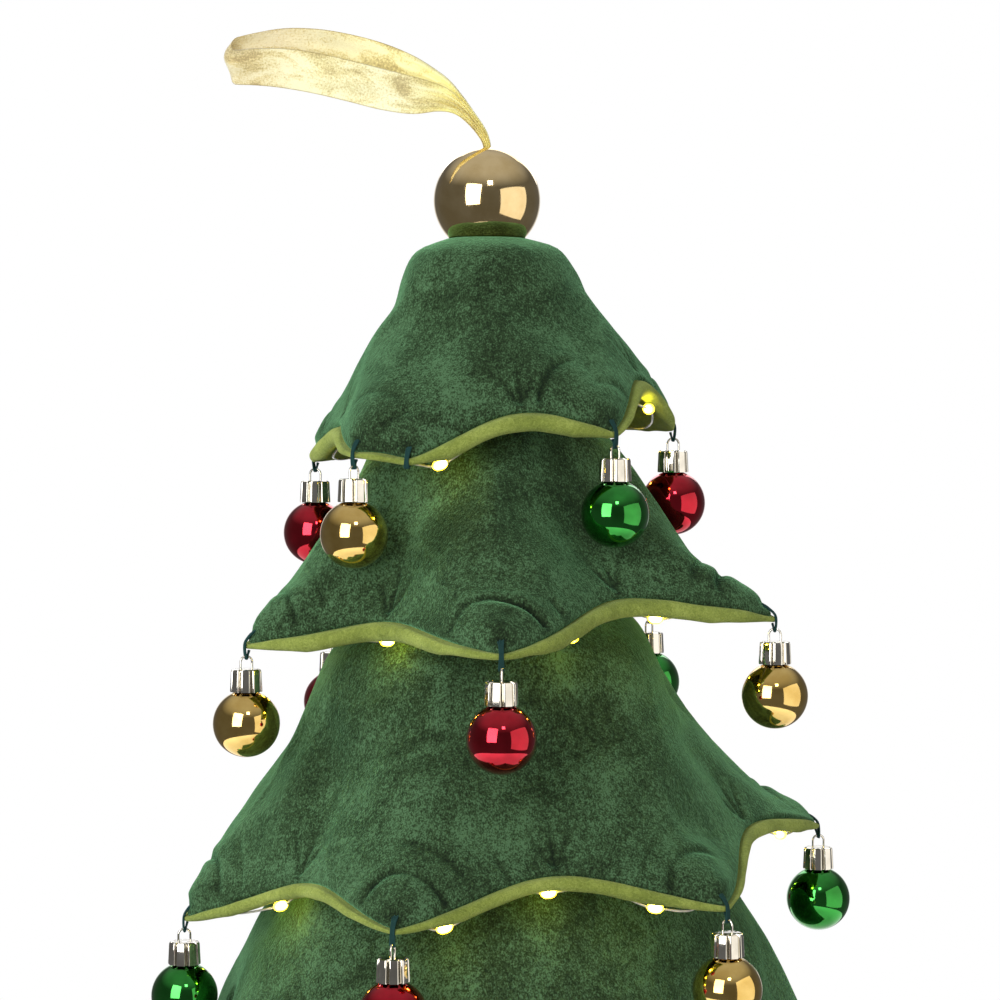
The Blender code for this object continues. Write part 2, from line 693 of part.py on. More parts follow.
def make_top_ball(materials):
    socket = DOWEL_R + GAP
    low = math.asin(socket / TOP_BALL_R)
    high = math.asin(TOP_EYE_R / TOP_BALL_R)
    foot = -TOP_BALL_R * math.cos(low)
    eye = TOP_BALL_R * math.cos(high)
    profile = [(0, foot + TOP_SOCKET_DEPTH), (socket, foot + TOP_SOCKET_DEPTH)]
    for band in range(TOP_BALL_BANDS + 1):
        turn = -math.pi / 2 + low + (math.pi - low - high) * band / TOP_BALL_BANDS
        profile.append((TOP_BALL_R * math.cos(turn), TOP_BALL_R * math.sin(turn)))
    profile += [(TOP_EYE_R, eye - TOP_EYE_DEPTH), (0, eye - TOP_EYE_DEPTH)]
    ball = add_object("top_ball", turned_mesh("top_ball", profile, TOP_BALL_STEPS), materials["champagne"])
    ball.location = (0, 0, top_ball_z())


def ribbon_layer(side):
    """Sections of one layer: front (-1) or back (1)."""
    start_z = top_ball_z() + TOP_BALL_R - TOP_EYE_DEPTH + GAP * 2
    route = [(Vector((-RIBBON_REACH * out, 0, start_z + RIBBON_RISE * up)), wide, apart)
             for out, up, wide, apart in RIBBON_ROUTE_SHARES]
    sections = []
    for i, (place, wide, apart) in enumerate(route):
        along = route[min(i + 1, len(route) - 1)][0] - route[max(i - 1, 0)][0]
        along.normalize()
        across = Vector((-along.z, 0, along.x)) * RIBBON_W / 2 * wide
        lift = Vector((0, 0, side * RIBBON_OFFSET / 2 * apart))
        middle = place + lift + Vector((0, side * RIBBON_OPEN / 2 * apart, 0))
        sections.append(ribbon_section(middle, across, Vector((0, side, 0))))
    return sections


def ribbon_section(middle, across, face):
    thick = face * RIBBON_T / 2
    return [middle - across + thick, middle + across + thick, middle + across - thick, middle - across - thick]


def ribbon_end():
    """The turn at the far end, from the front layer to the back one."""
    out, up, wide, apart = RIBBON_ROUTE_SHARES[-1]
    start_z = top_ball_z() + TOP_BALL_R - TOP_EYE_DEPTH + GAP * 2
    radius = RIBBON_OPEN / 2 * apart
    centre = Vector((-RIBBON_REACH * out, 0, start_z + RIBBON_RISE * up))
    sections = []
    for step in range(1, RIBBON_END_STEPS):
        turn = -math.pi / 2 + math.pi * step / RIBBON_END_STEPS
        face = Vector((-math.cos(turn), math.sin(turn), 0))
        lift = Vector((0, 0, math.sin(turn) * RIBBON_OFFSET / 2 * apart))
        across = Vector((0, 0, -RIBBON_W / 2 * wide))
        sections.append(ribbon_section(centre + face * radius + lift, across, face))
    return sections


def make_ribbon(materials):
    """A loop of flat ribbon, standing on its edge, pinched where it leaves the ball."""
    sections = ribbon_layer(-1) + ribbon_end() + list(reversed(ribbon_layer(1)))
    bm = bmesh.new()
    swept(bm, sections)
    add_object("ribbon", finish_mesh(bm, "ribbon", SOFT_SMOOTH_DEG), materials["ribbon"])


# Light string
def wire_stop(tier, azimuth, drop):
    """A point on the string under a tier: inside the lining's roll, and further in at the pinched points."""
    centre = roll_centre(tier, azimuth)
    tuck = WIRE_TUCK * (1 - clear_of_tip(tier, azimuth))
    inset = roll_radius(tier, azimuth) + WIRE_INSET + tuck
    return around(azimuth, centre.x - inset, centre.y - drop)


def climb_stop(height, side):
    """A point of the string in the core's groove at the back."""
    return Vector((side * CLIMB_SPREAD, core_radius(height) - GROOVE_DEPTH / 2, height))


def tier_string(tier):
    """One round of the string under a tier, with its lights, as (point, radius) pairs."""
    stops = []
    first = 180 - WIRE_ENTRY_DEG
    lights = sorted((led % 360) for led in tier.leds)
    azimuth = 180 + first
    plain = [a for a in range(int(azimuth), int(540 - first) + 1, WIRE_STEP_DEG)]
    reach = hem_at(tier, 0)[0]
    half_led = math.degrees(LED_LENGTH / 2 / reach)
    bare = half_led * LED_CLEAR_SHARE
    marks = [(a, 0) for a in plain if all(abs((a - led + 180) % 360 - 180) > bare for led in lights)]
    marks += [(led if led > azimuth else led + 360, 1) for led in lights]
    for place, is_light in sorted(marks):
        if not is_light:
            stops.append((wire_stop(tier, place, WIRE_DROP), WIRE_R))
            continue
        for offset, size in LED_PROFILE_SHARES:
            stops.append((wire_stop(tier, place + offset * half_led, LED_DROP), WIRE_R + (LED_R - WIRE_R) * size))
    return stops


def make_light_string(materials):
    box_top = BOX_LIP + BOX_H
    start = Vector((0, BOX_Y - BOX_WIDTH / 2 + WIRE_HOLE_R * 2, box_top + GAP))
    stops = [(start, WIRE_R), (start + Vector((0, 0, BASE_H - box_top + WIRE_R * 4)), WIRE_R)]
    stops.append((Vector((-CLIMB_SPREAD, TRUNK_R + WIRE_R * 4, BASE_H + WIRE_R * 8)), WIRE_R))
    stops.append((Vector((-CLIMB_SPREAD, TRUNK_TOP_R + WIRE_R * 8, TRUNK_TOP_Z - WIRE_R * 16)), WIRE_R))
    under = core_radius(TRUNK_TOP_Z) - GROOVE_DEPTH / 2
    stops.append((Vector((-CLIMB_SPREAD, under, TRUNK_TOP_Z - WIRE_R * 6)), WIRE_R))
    add_climbs(stops)
    bm = bmesh.new()
    tube(bm, [p for p, r in stops], [r for p, r in stops], Vector((1, 0, 0)))
    add_object("light_string", finish_mesh(bm, "light_string", SOFT_SMOOTH_DEG), materials["wire"])


def add_climbs(stops):
    """From tier to tier, bottom to top, leaving the groove just above the neck of the tier below."""
    below = TRUNK_TOP_Z
    for tier in reversed(TIERS):
        low = below + CLIMB_CLEARANCE
        stops.append((climb_stop(low, -1), WIRE_R))
        stops += tier_string(tier)
        stops.append((climb_stop(low + WIRE_R * 6, 1), WIRE_R))
        below = tier.top_z


# Stand and battery compartment
def make_stand(materials):
    """The turned base with its trunk and the dowel that runs up through the core into the top ball."""
    inner = BASE_R - BASE_EDGE_R
    bevel = BASE_EDGE_R * (1 - math.sqrt(0.5))
    ball_foot = top_ball_z() - math.sqrt(TOP_BALL_R ** 2 - (DOWEL_R + GAP) ** 2)
    tip = ball_foot + TOP_SOCKET_DEPTH - GAP
    profile = ((0, 0), (BASE_R - BASE_EDGE_R / 4, 0), (BASE_R, BASE_EDGE_R / 4), (BASE_R, BASE_H - BASE_EDGE_R),
               (BASE_R - bevel, BASE_H - bevel), (inner, BASE_H), (TRUNK_R + BASE_EDGE_R / 2, BASE_H),
               (TRUNK_R, BASE_H + BASE_EDGE_R), (TRUNK_TOP_R, TRUNK_TOP_Z), (DOWEL_R, TRUNK_TOP_Z),
               (DOWEL_R, tip - DOWEL_R / 4), (DOWEL_R * DOWEL_TIP_SHARE, tip), (0, tip))
    stand = add_object("stand", turned_mesh("stand", profile, STAND_STEPS), materials["wood"])
    pocket_top = BOX_LIP + BOX_H + GAP
    recess = guide("box_recess", box_mesh(
        "box_recess", (BOX_LENGTH + GAP * 2, BOX_WIDTH + GAP * 2, pocket_top * 2), (0, BOX_Y, 0)))
    combine(stand, recess, "DIFFERENCE")
    hole = guide("wire_hole", turned_mesh(
        "wire_hole", ((0, 0), (WIRE_HOLE_R, 0), (WIRE_HOLE_R, BASE_H * 2), (0, BASE_H * 2)), CELL_STEPS))
    hole.location = (0, BOX_Y - BOX_WIDTH / 2 + WIRE_HOLE_R * 2, BOX_LIP)
    combine(stand, hole, "DIFFERENCE")


def make_battery_box(materials):
    """A tray that opens downwards, with a bay for two cells and a slot for the switch."""
    box = add_object("battery_box", box_mesh(
        "battery_box", (BOX_LENGTH, BOX_WIDTH, BOX_H), (0, 0, BOX_H / 2)), materials["plastic"])
    box.location = (0, BOX_Y, BOX_LIP)
    bay_y = BOX_WALL + GAP + DOOR_WIDTH / 2 - BOX_WIDTH / 2
    slot_y = BOX_WIDTH / 2 - BOX_WALL - SLOT_WIDTH / 2
    depth = BOX_H - BOX_WALL
    bay = guide("cell_bay", box_mesh("cell_bay", (BAY_LENGTH, BAY_WIDTH, depth * 2), (0, bay_y, 0)))
    seat = guide("door_seat", box_mesh(
        "door_seat", (DOOR_LENGTH + GAP * 2, DOOR_WIDTH + GAP * 2, DOOR_T * 2 + GAP * 2), (0, bay_y, 0)))
    slot = guide("switch_slot", box_mesh(
        "switch_slot", (SWITCH_LENGTH + SWITCH_TRAVEL + GAP * 2, SLOT_WIDTH, SWITCH_H * 4), (0, slot_y, 0)))
    for cutter in (bay, seat, slot):
        cutter.location = box.location
        combine(box, cutter, "DIFFERENCE")
    make_cells(materials, bay_y, depth)
    make_door(materials, bay_y)
    make_switch(materials, slot_y)


def make_cells(materials, bay_y, depth):
    body = CELL_LENGTH - CELL_NUB_H
    profile = ((0, -body / 2), (CELL_R, -body / 2), (CELL_R, body / 2), (CELL_NUB_R, body / 2),
               (CELL_NUB_R, body / 2 + CELL_NUB_H), (0, body / 2 + CELL_NUB_H))
    mesh = turned_mesh("cell", profile, CELL_STEPS)
    for number, side in ((1, -1), (2, 1)):
        cell = add_object("battery_cell_" + str(number), mesh, materials["cell"])
        height = BOX_LIP + depth - CELL_R - GAP
        cell.location = (0, BOX_Y + bay_y + side * (CELL_R + GAP / 2), height)
        cell.rotation_euler = (0, side * math.pi / 2, 0)


def make_door(materials, bay_y):
    """The cover over the cells, with a finger catch; its origin is on its hinge edge."""
    pivot_y = bay_y - DOOR_WIDTH / 2
    bm = bmesh.new()
    bmesh.ops.create_cube(bm, size=1)
    bmesh.ops.scale(bm, verts=bm.verts, vec=(DOOR_LENGTH, DOOR_WIDTH, DOOR_T))
    bmesh.ops.translate(bm, verts=bm.verts, vec=(0, DOOR_WIDTH / 2, DOOR_T / 2))
    mesh = finish_mesh(bm, "battery_door", CRISP_SMOOTH_DEG)
    door = add_object("battery_door", mesh, materials["plastic"])
    door.location = (0, BOX_Y + pivot_y, BOX_LIP)
    grip = guide("door_grip", box_mesh(
        "door_grip", (DOOR_WIDTH / 2, DOOR_T, DOOR_T), (0, DOOR_WIDTH - DOOR_T * 2, 0)))
    grip.location = door.location
    combine(door, grip, "DIFFERENCE")


def make_switch(materials, slot_y):
    """A small ribbed slider that runs along its slot."""
    bm = bmesh.new()
    half = SWITCH_LENGTH / 2
    rib = SWITCH_LENGTH / (2 * SWITCH_RIBS + 1)
    low = -SWITCH_H / 4
    outline = [Vector((-half, 0, SWITCH_H)), Vector((-half, 0, 0))]
    for i in range(SWITCH_RIBS):
        start = -half + rib * (2 * i + 1)
        edge = rib * RIB_EDGE_SHARE
        outline += [Vector((start, 0, 0)), Vector((start + edge, 0, low)),
                    Vector((start + rib - edge, 0, low)), Vector((start + rib, 0, 0))]
    outline += [Vector((half, 0, 0)), Vector((half, 0, SWITCH_H))]
    side = Vector((0, SWITCH_WIDTH / 2, 0))
    swept(bm, [[p - side for p in outline], [p + side for p in outline]])
    switch = add_object("switch", finish_mesh(bm, "switch", CRISP_SMOOTH_DEG), materials["plastic"])
    switch.location = (-SWITCH_TRAVEL / 2, BOX_Y + slot_y, BOX_LIP)


def main():
    clear_scene()
    materials = make_materials()
    make_stand(materials)
    make_battery_box(materials)
    make_core(materials)
    cap = joined_cap_mesh()
    balls = {}
    for colour in ("red", "gold", "green"):
        balls[colour] = ball_mesh()
    for tier in TIERS:
        make_tier(tier, materials)
        make_baubles(tier, materials, balls, cap)
    make_top_ball(materials)
    make_ribbon(materials)
    make_light_string(materials)


main()
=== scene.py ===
"""Looks of a tiered velvet christmas tree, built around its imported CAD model.

Metres, +Z up. The tree's axis is Z and its front faces -Y.
An azimuth is in degrees, is 0 at the front and grows towards +X.
"""
import json
import math
from collections import namedtuple

import bpy
import numpy as np
from mathutils import Matrix, Vector, noise


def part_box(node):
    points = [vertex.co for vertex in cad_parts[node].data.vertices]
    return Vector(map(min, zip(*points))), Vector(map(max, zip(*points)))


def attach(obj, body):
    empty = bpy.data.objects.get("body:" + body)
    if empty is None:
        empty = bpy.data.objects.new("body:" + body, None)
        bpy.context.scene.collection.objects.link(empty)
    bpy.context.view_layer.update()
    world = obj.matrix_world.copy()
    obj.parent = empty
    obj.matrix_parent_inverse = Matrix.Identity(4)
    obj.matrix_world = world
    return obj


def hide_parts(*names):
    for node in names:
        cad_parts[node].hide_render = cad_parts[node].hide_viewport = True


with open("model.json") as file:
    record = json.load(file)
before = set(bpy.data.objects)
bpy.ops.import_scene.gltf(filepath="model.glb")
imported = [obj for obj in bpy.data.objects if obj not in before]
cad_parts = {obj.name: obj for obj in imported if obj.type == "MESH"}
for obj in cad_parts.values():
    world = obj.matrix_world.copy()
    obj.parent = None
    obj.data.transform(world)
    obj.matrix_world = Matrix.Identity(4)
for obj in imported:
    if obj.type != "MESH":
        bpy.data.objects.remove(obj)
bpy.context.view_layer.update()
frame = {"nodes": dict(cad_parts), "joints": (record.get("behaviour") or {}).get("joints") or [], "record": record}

# Fits and sizes repeated from the part's source
GAP = 0.0003
CLOTH_GAP = 0.0005
TRUNK_R = 0.0165
TRUNK_TOP_R = 0.0145
TRUNK_TOP_Z = 0.088
DOWEL_R = 0.004
CORE_BOTTOM_R = 0.046
CORE_TOP_R = 0.0155
CORE_TOP_Z = 0.4032
GROOVE_DEPTH = 0.0036
SKIRT_T = 0.0058
HEM_T = 0.0030
LINING_T = 0.0026
PAD_TAPER_SHARE = 0.6
ROLL_R = 0.0032
ROLL_TUCK_SHARE = 0.75
TIP_ROLL_SHARE = 0.34
ROLL_SHARES = {"tier_1": 1.0, "tier_2": 1.0, "tier_3": 0.78, "tier_4": 0.85}
STAR_POWER = 1.3
ARCH_POWER = 1.25
FULL_ARCH_DEG = 55.0
CROWN_HOLE_R = 0.0135
BALL_R = 0.0122
NECK_R = 0.0036
NECK_H = 0.0040
CAP_R = 0.0054
CAP_FLUTE = 0.0008
CAP_H = 0.0094
CAP_POCKET_R = 0.0041
CAP_FLUTES = 8
CAP_SLOT_DEG = 4.5
CAP_BEAD = 0.0010
RING_R = 0.0022
RING_WIRE_R = 0.0004
RING_LEG = 0.0012
RING_SLACK = 0.0002
THREAD_R = 0.0004
TOP_BALL_R = 0.0200
TOP_SOCKET_DEPTH = 0.0100
TOP_EYE_R = 0.0020
TOP_EYE_DEPTH = 0.0050
TOP_EYE_BEVEL = 0.0004
RIBBON_W = 0.0150
RIBBON_REACH = 0.0930
RIBBON_RISE = 0.0380
RIBBON_OPEN = 0.0090
RIBBON_OFFSET = 0.0108
WIRE_R = 0.0005
LED_R = 0.0020
LED_LENGTH = 0.0044
WIRE_DROP = 0.0008
LED_DROP = 0.0034
# Lights that hang further out and lower than the rest
LED_SHIFTS = {("tier_1", 74 + 360): (0.0075, 0.0035)}
WIRE_INSET = 0.0018
WIRE_TUCK = 0.0060
WIRE_STEP_DEG = 18
WIRE_ENTRY_DEG = 174
CLIMB_SPREAD = 0.0014
CLIMB_CLEARANCE = 0.0060
BASE_H = 0.019
BASE_EDGE_R = 0.004
WIRE_HOLE_R = 0.0016

CROWN_OUTLINE_SHARES = (
    (0.0, 0.02), (0.05, 0.19), (0.1, 0.27), (0.22, 0.36), (0.36, 0.44), (0.5, 0.55), (0.68, 0.73),
    (0.85, 0.88), (1.0, 1.0))
UPPER_OUTLINE_SHARES = (
    (0.0, 0.0), (0.07, 0.1), (0.25, 0.27), (0.5, 0.47), (0.75, 0.73), (0.9, 0.89), (1.0, 1.0))
MIDDLE_OUTLINE_SHARES = (
    (0.0, 0.0), (0.07, 0.14), (0.25, 0.35), (0.5, 0.52), (0.75, 0.73), (0.9, 0.88), (1.0, 1.0))
LOWEST_OUTLINE_SHARES = (
    (0.0, 0.0), (0.06, 0.14), (0.2, 0.33), (0.34, 0.46), (0.52, 0.61), (0.75, 0.8), (0.9, 0.91), (1.0, 1.0))

# Lifts and deeps are shares by which each arch rises and falls back more than the part's own
Tier = namedtuple(
    "Tier", "name top_z hem_z hem_r valley rise outline tips reaches droops hung leds lifts deeps",
    defaults=((1.0,) * 6, (1.0,) * 6))
TIERS = (
    Tier("tier_1", 0.4093, 0.3364, 0.0678, 0.1, 0.0075, CROWN_OUTLINE_SHARES,
         (-112, -41, -24, 40, 102, 172), (1.04, 1.05, 1.0, 1.04, 1.05, 1.04),
         (0.09, 0.06, 0.09, -0.04, -0.07, 0.0), (1, 1, 0, 1, 1, 1), (-75, -16, 74, 138),
         (1.4, 1.0, 1.45, 2.4, 1.0, 1.0), (2.0, 1.0, 1.0, 1.7, 1.0, 1.0)),
    Tier("tier_2", 0.3542, 0.2653, 0.1000, 0.3, 0.0085, UPPER_OUTLINE_SHARES,
         (-142, -66, 3, 76, 140), (0.99, 0.94, 1.01, 1.07, 0.99),
         (0.06, 0.03, 0.02, -0.07, -0.03), (1, 1, 1, 1, 1), (-118, -86, -34, 24, 53, 112, 158),
         (1.0, 1.0, 1.4, 1.0, 1.0)),
    Tier("tier_3", 0.2808, 0.1724, 0.1190, 0.2, 0.0130, MIDDLE_OUTLINE_SHARES,
         (-136, -76, -16, 44, 104, 164), (0.99, 0.95, 0.95, 1.0, 1.09, 1.01),
         (0.12, 0.1, 0.02, -0.02, -0.14, -0.07), (1, 1, 1, 1, 1, 1), (-112, -55, -8, 14, 34, 90, 134, 156)),
    Tier("tier_4", 0.2065, 0.0560, 0.1480, 0.2, 0.0140, LOWEST_OUTLINE_SHARES,
         (-118, -48, 14, 86, 162), (0.99, 0.98, 1.0, 1.02, 1.0),
         (0.02, 0.01, 0.02, -0.02, 0.0), (1, 1, 1, 1, 1), (-150, -96, -70, -26, -2, 34, 62, 108, 138)),
)

# Fineness of the visible meshes
CLOTH_STEP = 0.00125
FELT_STEP = 0.0017
INSIDE_ROWS = 14
TURN_ROWS = 5
ROLL_POINTS = 14
BALL_STEPS = 56
CAP_FLUTE_STEPS = 20
TOP_BALL_STEPS = 96
BEAD_STEPS = 20
CORE_STEPS = 96
CORE_ROWS = 60
STAND_STEPS = 144
CELL_STEPS = 48
# Slack of the felt roll beside each point, and its lumps
ROLL_SLACK_SHARE = 0.35
ROLL_SLACK_DEG = 10.0
ROLL_TURN_DEG = 30.0
LUMP_H = 0.0005
LUMP_TOP = 0.0003
LUMP_SIZE = 0.011

# Creases in the velvet round the sewn points, tier by tier: azimuth of the point, radius of the
# crease, lean of its middle and half its spread in degrees, and its depth
CREASES = (
    ((-112, 0.019, 12, 70, 0.0012), (-41, 0.023, 22, 80, 0.0003), (-24, 0.014, -30, 60, 0.0006),
     (40, 0.030, -44, 40, 0.0017), (40, 0.018, 40, 60, 0.0008), (102, 0.022, 0, 95, 0.0015),
     (172, 0.019, -14, 70, 0.0011), (172, 0.030, 26, 34, 0.0008)),
    ((-142, 0.020, -12, 72, 0.0013), (-142, 0.031, 22, 36, 0.0008), (-66, 0.021, 18, 64, 0.0015),
     (-66, 0.034, 34, 34, 0.0007), (3, 0.0225, -4, 122, 0.0019), (3, 0.0275, -30, 54, 0.0006),
     (3, 0.034, 66, 20, 0.0010), (76, 0.0225, -14, 62, 0.0021), (76, 0.032, -40, 26, 0.0010),
     (140, 0.021, 16, 70, 0.0013), (140, 0.033, -28, 30, 0.0008)),
    ((-136, 0.020, 14, 74, 0.0013), (-136, 0.032, -20, 36, 0.0009), (-76, 0.020, 14, 60, 0.0019),
     (-76, 0.031, 40, 34, 0.0010), (-16, 0.0188, 14, 105, 0.0017), (-16, 0.030, 20, 46, 0.0013),
     (-16, 0.044, 66, 18, 0.0011), (44, 0.0210, -30, 84, 0.0018), (44, 0.031, -50, 30, 0.0009),
     (104, 0.024, -10, 60, 0.0019), (164, 0.019, -10, 70, 0.0012), (164, 0.030, 30, 34, 0.0009)),
    ((-118, 0.022, 10, 72, 0.0013), (-118, 0.034, -26, 34, 0.0009), (-48, 0.023, 8, 85, 0.0016),
     (-48, 0.036, 26, 36, 0.0010), (14, 0.025, -8, 90, 0.0016), (14, 0.036, -22, 36, 0.0010),
     (86, 0.024, -10, 70, 0.0018), (162, 0.021, -14, 72, 0.0013), (162, 0.033, 24, 34, 0.0009)),
)
CREASE_W = 0.0013
# Rims beside a crease: their height as a share of its depth, and the place and width of each in its widths
CREASE_RIM_SHARE = 0.35
CREASE_RIMS = ((2.6, 2.1), (-2.8, 2.2))
# Depth of a crease at which its painted shade is darkest
FULL_SHADE_DEPTH = 0.0022
FOLDED_LENGTH = 0.045
# Fuller places of the stuffing, tier by tier: azimuth, height, size and lift
BELLIES = (
    (),
    ((82, 0.294, 0.018, -0.0045),),
    ((-84, 0.188, 0.024, 0.0070), (100, 0.217, 0.022, -0.0055), (95, 0.246, 0.022, -0.0055)),
    ((92, 0.145, 0.045, 0.0090),),
)
DOME_H = 0.0026
DOME_R = 0.0125
DOME_UP = 0.010
STITCH_R = 0.0030
STITCH_UP = 0.0015
# Painted shade round each stitch, as a share of the darkest
STITCH_SHADE = 0.5
DIMPLE_DEPTH = 0.0011
# Painted shade in each dimple, as a share of the darkest
DIMPLE_SHADE = 0.6
DIMPLE_W = 0.0011
DIMPLE_UP = 0.004
DIMPLE_LENGTH = 0.011
PUCKER_H = 0.00018
PUCKER_SIZE = 0.0070
PUCKER_UP = 0.008
PLAIN_HEM = 0.0035
WAVE_H = 0.0010
WAVE_SIZE = 0.034
RIPPLE_H = 0.00030
RIPPLE_SIZE = 0.012
# Dents where a ball rests on the velvet at the inward end of its swing
DENT_CLEARANCE = 0.0005
DENT_EDGE = 0.0008
# Strands of a stitch: how far aside each lies, and how far above the hem it comes out
STITCH_STRANDS = ((-1.1, 0.0026), (-0.4, 0.0042), (0.3, 0.0033), (0.9, 0.0045))
STITCH_SPREAD = 0.0010
STITCH_OVER = 0.0012
STITCH_STEP = 0.0006


# Materials
class NodeTree:
    """Short ways to add nodes, whose inputs are linked to a socket or set to a value."""

    def __init__(self, tree):
        self.nodes, self.links = tree.nodes, tree.links

    def feed(self, node, inputs):
        for key, value in inputs.items():
            if isinstance(value, bpy.types.NodeSocket):
                self.links.new(value, node.inputs[key])
            else:
                node.inputs[key].default_value = value

    def add(self, kind, inputs, output=0, **settings):
        node = self.nodes.new("ShaderNode" + kind)
        for key, value in settings.items():
            setattr(node, key, value)
        self.feed(node, inputs)
        return node.outputs[output]

    def chain(self, kind, operation, first, *others):
        """One operation over several sockets."""
        for other in others:
            first = self.add(kind, {0: first, 1: other}, operation=operation)
        return first


class Finish(NodeTree):
    """A material whose colour, roughness and relief come from nodes round one Principled shader."""

    def __init__(self, name, roughness=0.5, **constants):
        self.material = bpy.data.materials.new(name)
        self.material.use_nodes = True
        super().__init__(self.material.node_tree)
        self.shader = self.nodes["Principled BSDF"]
        self.shade(roughness=roughness, **constants)
        self.place = self.add("TexCoord", {}, "Object")

    def shade(self, **inputs):
        for key, value in inputs.items():
            self.feed(self.shader, {key.replace("_", " ").title().replace("Ior", "IOR"): value})

    def stretched(self, *scale):
        return self.add("Mapping", {"Vector": self.place, "Scale": scale})

    def noise(self, scale, detail=3.0, roughness=0.55, distortion=0.0, place=None):
        return self.add("TexNoise", {"Vector": place or self.place, "Scale": scale, "Detail": detail,
                                     "Roughness": roughness, "Distortion": distortion}, "Fac")

    def wave(self, scale, distortion=0.0, direction="Z", place=None):
        return self.add("TexWave", {"Vector": place or self.place, "Scale": scale, "Distortion": distortion},
                        "Fac", bands_direction=direction)

    def ramp(self, fac, *stops):
        node = self.nodes.new("ShaderNodeValToRGB")
        elements = node.color_ramp.elements
        while len(elements) < len(stops):
            elements.new(0.5)
        for element, (place, color) in zip(elements, stops):
            element.position = place
            element.color = (*color, 1.0)
        self.links.new(fac, node.inputs["Fac"])
        return node.outputs["Color"]

    def grey(self, fac, low, high):
        return self.add("MapRange", {"Value": fac, "To Min": low, "To Max": high}, "Result")

    def mean(self, *weighted):
        """Several patterns as one, from pairs of a socket and its weight."""
        total = 0.0
        for source, weight in weighted:
            total = self.add("Math", {0: source, 1: weight, 2: total}, operation="MULTIPLY_ADD")
        return total

    def relief(self, height, distance, strength):
        self.shade(normal=self.add("Bump", {"Height": height, "Distance": distance, "Strength": strength}))

    def made(self, color, roughness=None):
        """The material, with its colour and any pattern of its roughness linked."""
        self.shade(base_color=color)
        if roughness:
            self.shade(roughness=roughness)
        return self.material


def velvet():
    """Short plush pile, lighter where it lies over and dark where it stands up to the eye."""
    f = Finish("plush_velvet", 0.9, specular_ior_level=0.12, sheen_weight=0.75, sheen_roughness=0.36,
               sheen_tint=(0.34, 0.86, 0.42, 1.0))
    patches = f.noise(44, 4, 0.6, 0.8)
    tufts = f.noise(620, 3, 0.6, 0.4, f.stretched(1, 1, 0.8))
    pile = f.noise(1800, 2, 0.6, 0.0, f.stretched(1, 1, 0.7))
    # Painted shade: the colour is darkened where the mesh marks creases, dimples and stitches
    fold = f.add("Attribute", {}, "Fac", attribute_name="fold")
    f.relief(f.mean((tufts, 0.6), (pile, 0.4)), 0.0012, 0.7)
    return f.made(f.ramp(f.mean((patches, 0.28), (tufts, 0.26), (pile, 0.46), (fold, -0.20)),
                         (0.34, (0.006, 0.012, 0.006)), (0.43, (0.014, 0.026, 0.010)),
                         (0.50, (0.031, 0.061, 0.025)), (0.58, (0.077, 0.160, 0.075))))


def felt():
    """Pressed wool with short loose fibres."""
    f = Finish("green_felt", 0.95, specular_ior_level=0.1, sheen_weight=0.3, sheen_roughness=0.5,
               sheen_tint=(0.75, 0.90, 0.45, 1.0))
    wool = f.noise(800, 4, 0.7, 1.5)
    f.relief(wool, 0.0010, 0.7)
    return f.made(f.ramp(f.mean((wool, 0.6), (f.noise(70, 3, 0.5), 0.4)), (0.36, (0.140, 0.180, 0.032)),
                         (0.50, (0.235, 0.29, 0.056)), (0.64, (0.36, 0.42, 0.10))))


def thread():
    f = Finish("sewing_thread", 0.75, specular_ior_level=0.2)
    twist = f.wave(900, 2.0)
    f.relief(twist, 0.0002, 0.8)
    return f.made(f.ramp(twist, (0.2, (0.006, 0.026, 0.024)), (0.8, (0.022, 0.085, 0.078))))


def stuffed_cotton():
    f = Finish("core_cotton", 0.95, sheen_weight=0.2)
    weave = f.mean((f.wave(700, 0.5, "X"), 0.5), (f.wave(700, 0.5, "Z"), 0.5))
    f.relief(weave, 0.0004, 0.6)
    return f.made(f.ramp(weave, (0.2, (0.012, 0.035, 0.016)), (0.7, (0.03, 0.08, 0.04))))


def plated(name, color, dark):
    """Thin mirror plating on plastic, with the faint waviness of a moulded ball."""
    f = Finish(name, 0.06, metallic=1.0, coat_weight=0.4, coat_roughness=0.03)
    f.relief(f.noise(90, 1, 0.4), 0.0002, 0.2)
    return f.made(f.ramp(f.noise(120, 3, 0.5), (0.35, dark), (0.62, color)),
                  f.grey(f.noise(400, 4, 0.6), 0.02, 0.12))


def wood():
    """Oiled softwood: long grain with darker growth lines and open pores."""
    f = Finish("turned_wood", 0.5, coat_weight=0.2, coat_roughness=0.3)
    rings = f.wave(38, 5.0, "Y", f.stretched(0.25, 1.0, 0.8))
    grain = f.noise(40, 6, 0.65, 0.6, f.stretched(0.3, 5.0, 1.0))
    pores = f.noise(600, 3, 0.6, 0.0, f.stretched(0.15, 2.2, 1.0))
    f.relief(f.mean((pores, 0.7), (rings, 0.3)), 0.0004, 0.5)
    return f.made(f.ramp(f.mean((rings, 0.35), (grain, 0.45), (pores, 0.2)), (0.25, (0.13, 0.060, 0.026)),
                         (0.50, (0.27, 0.145, 0.066)), (0.75, (0.42, 0.25, 0.125))),
                  f.grey(grain, 0.38, 0.62))


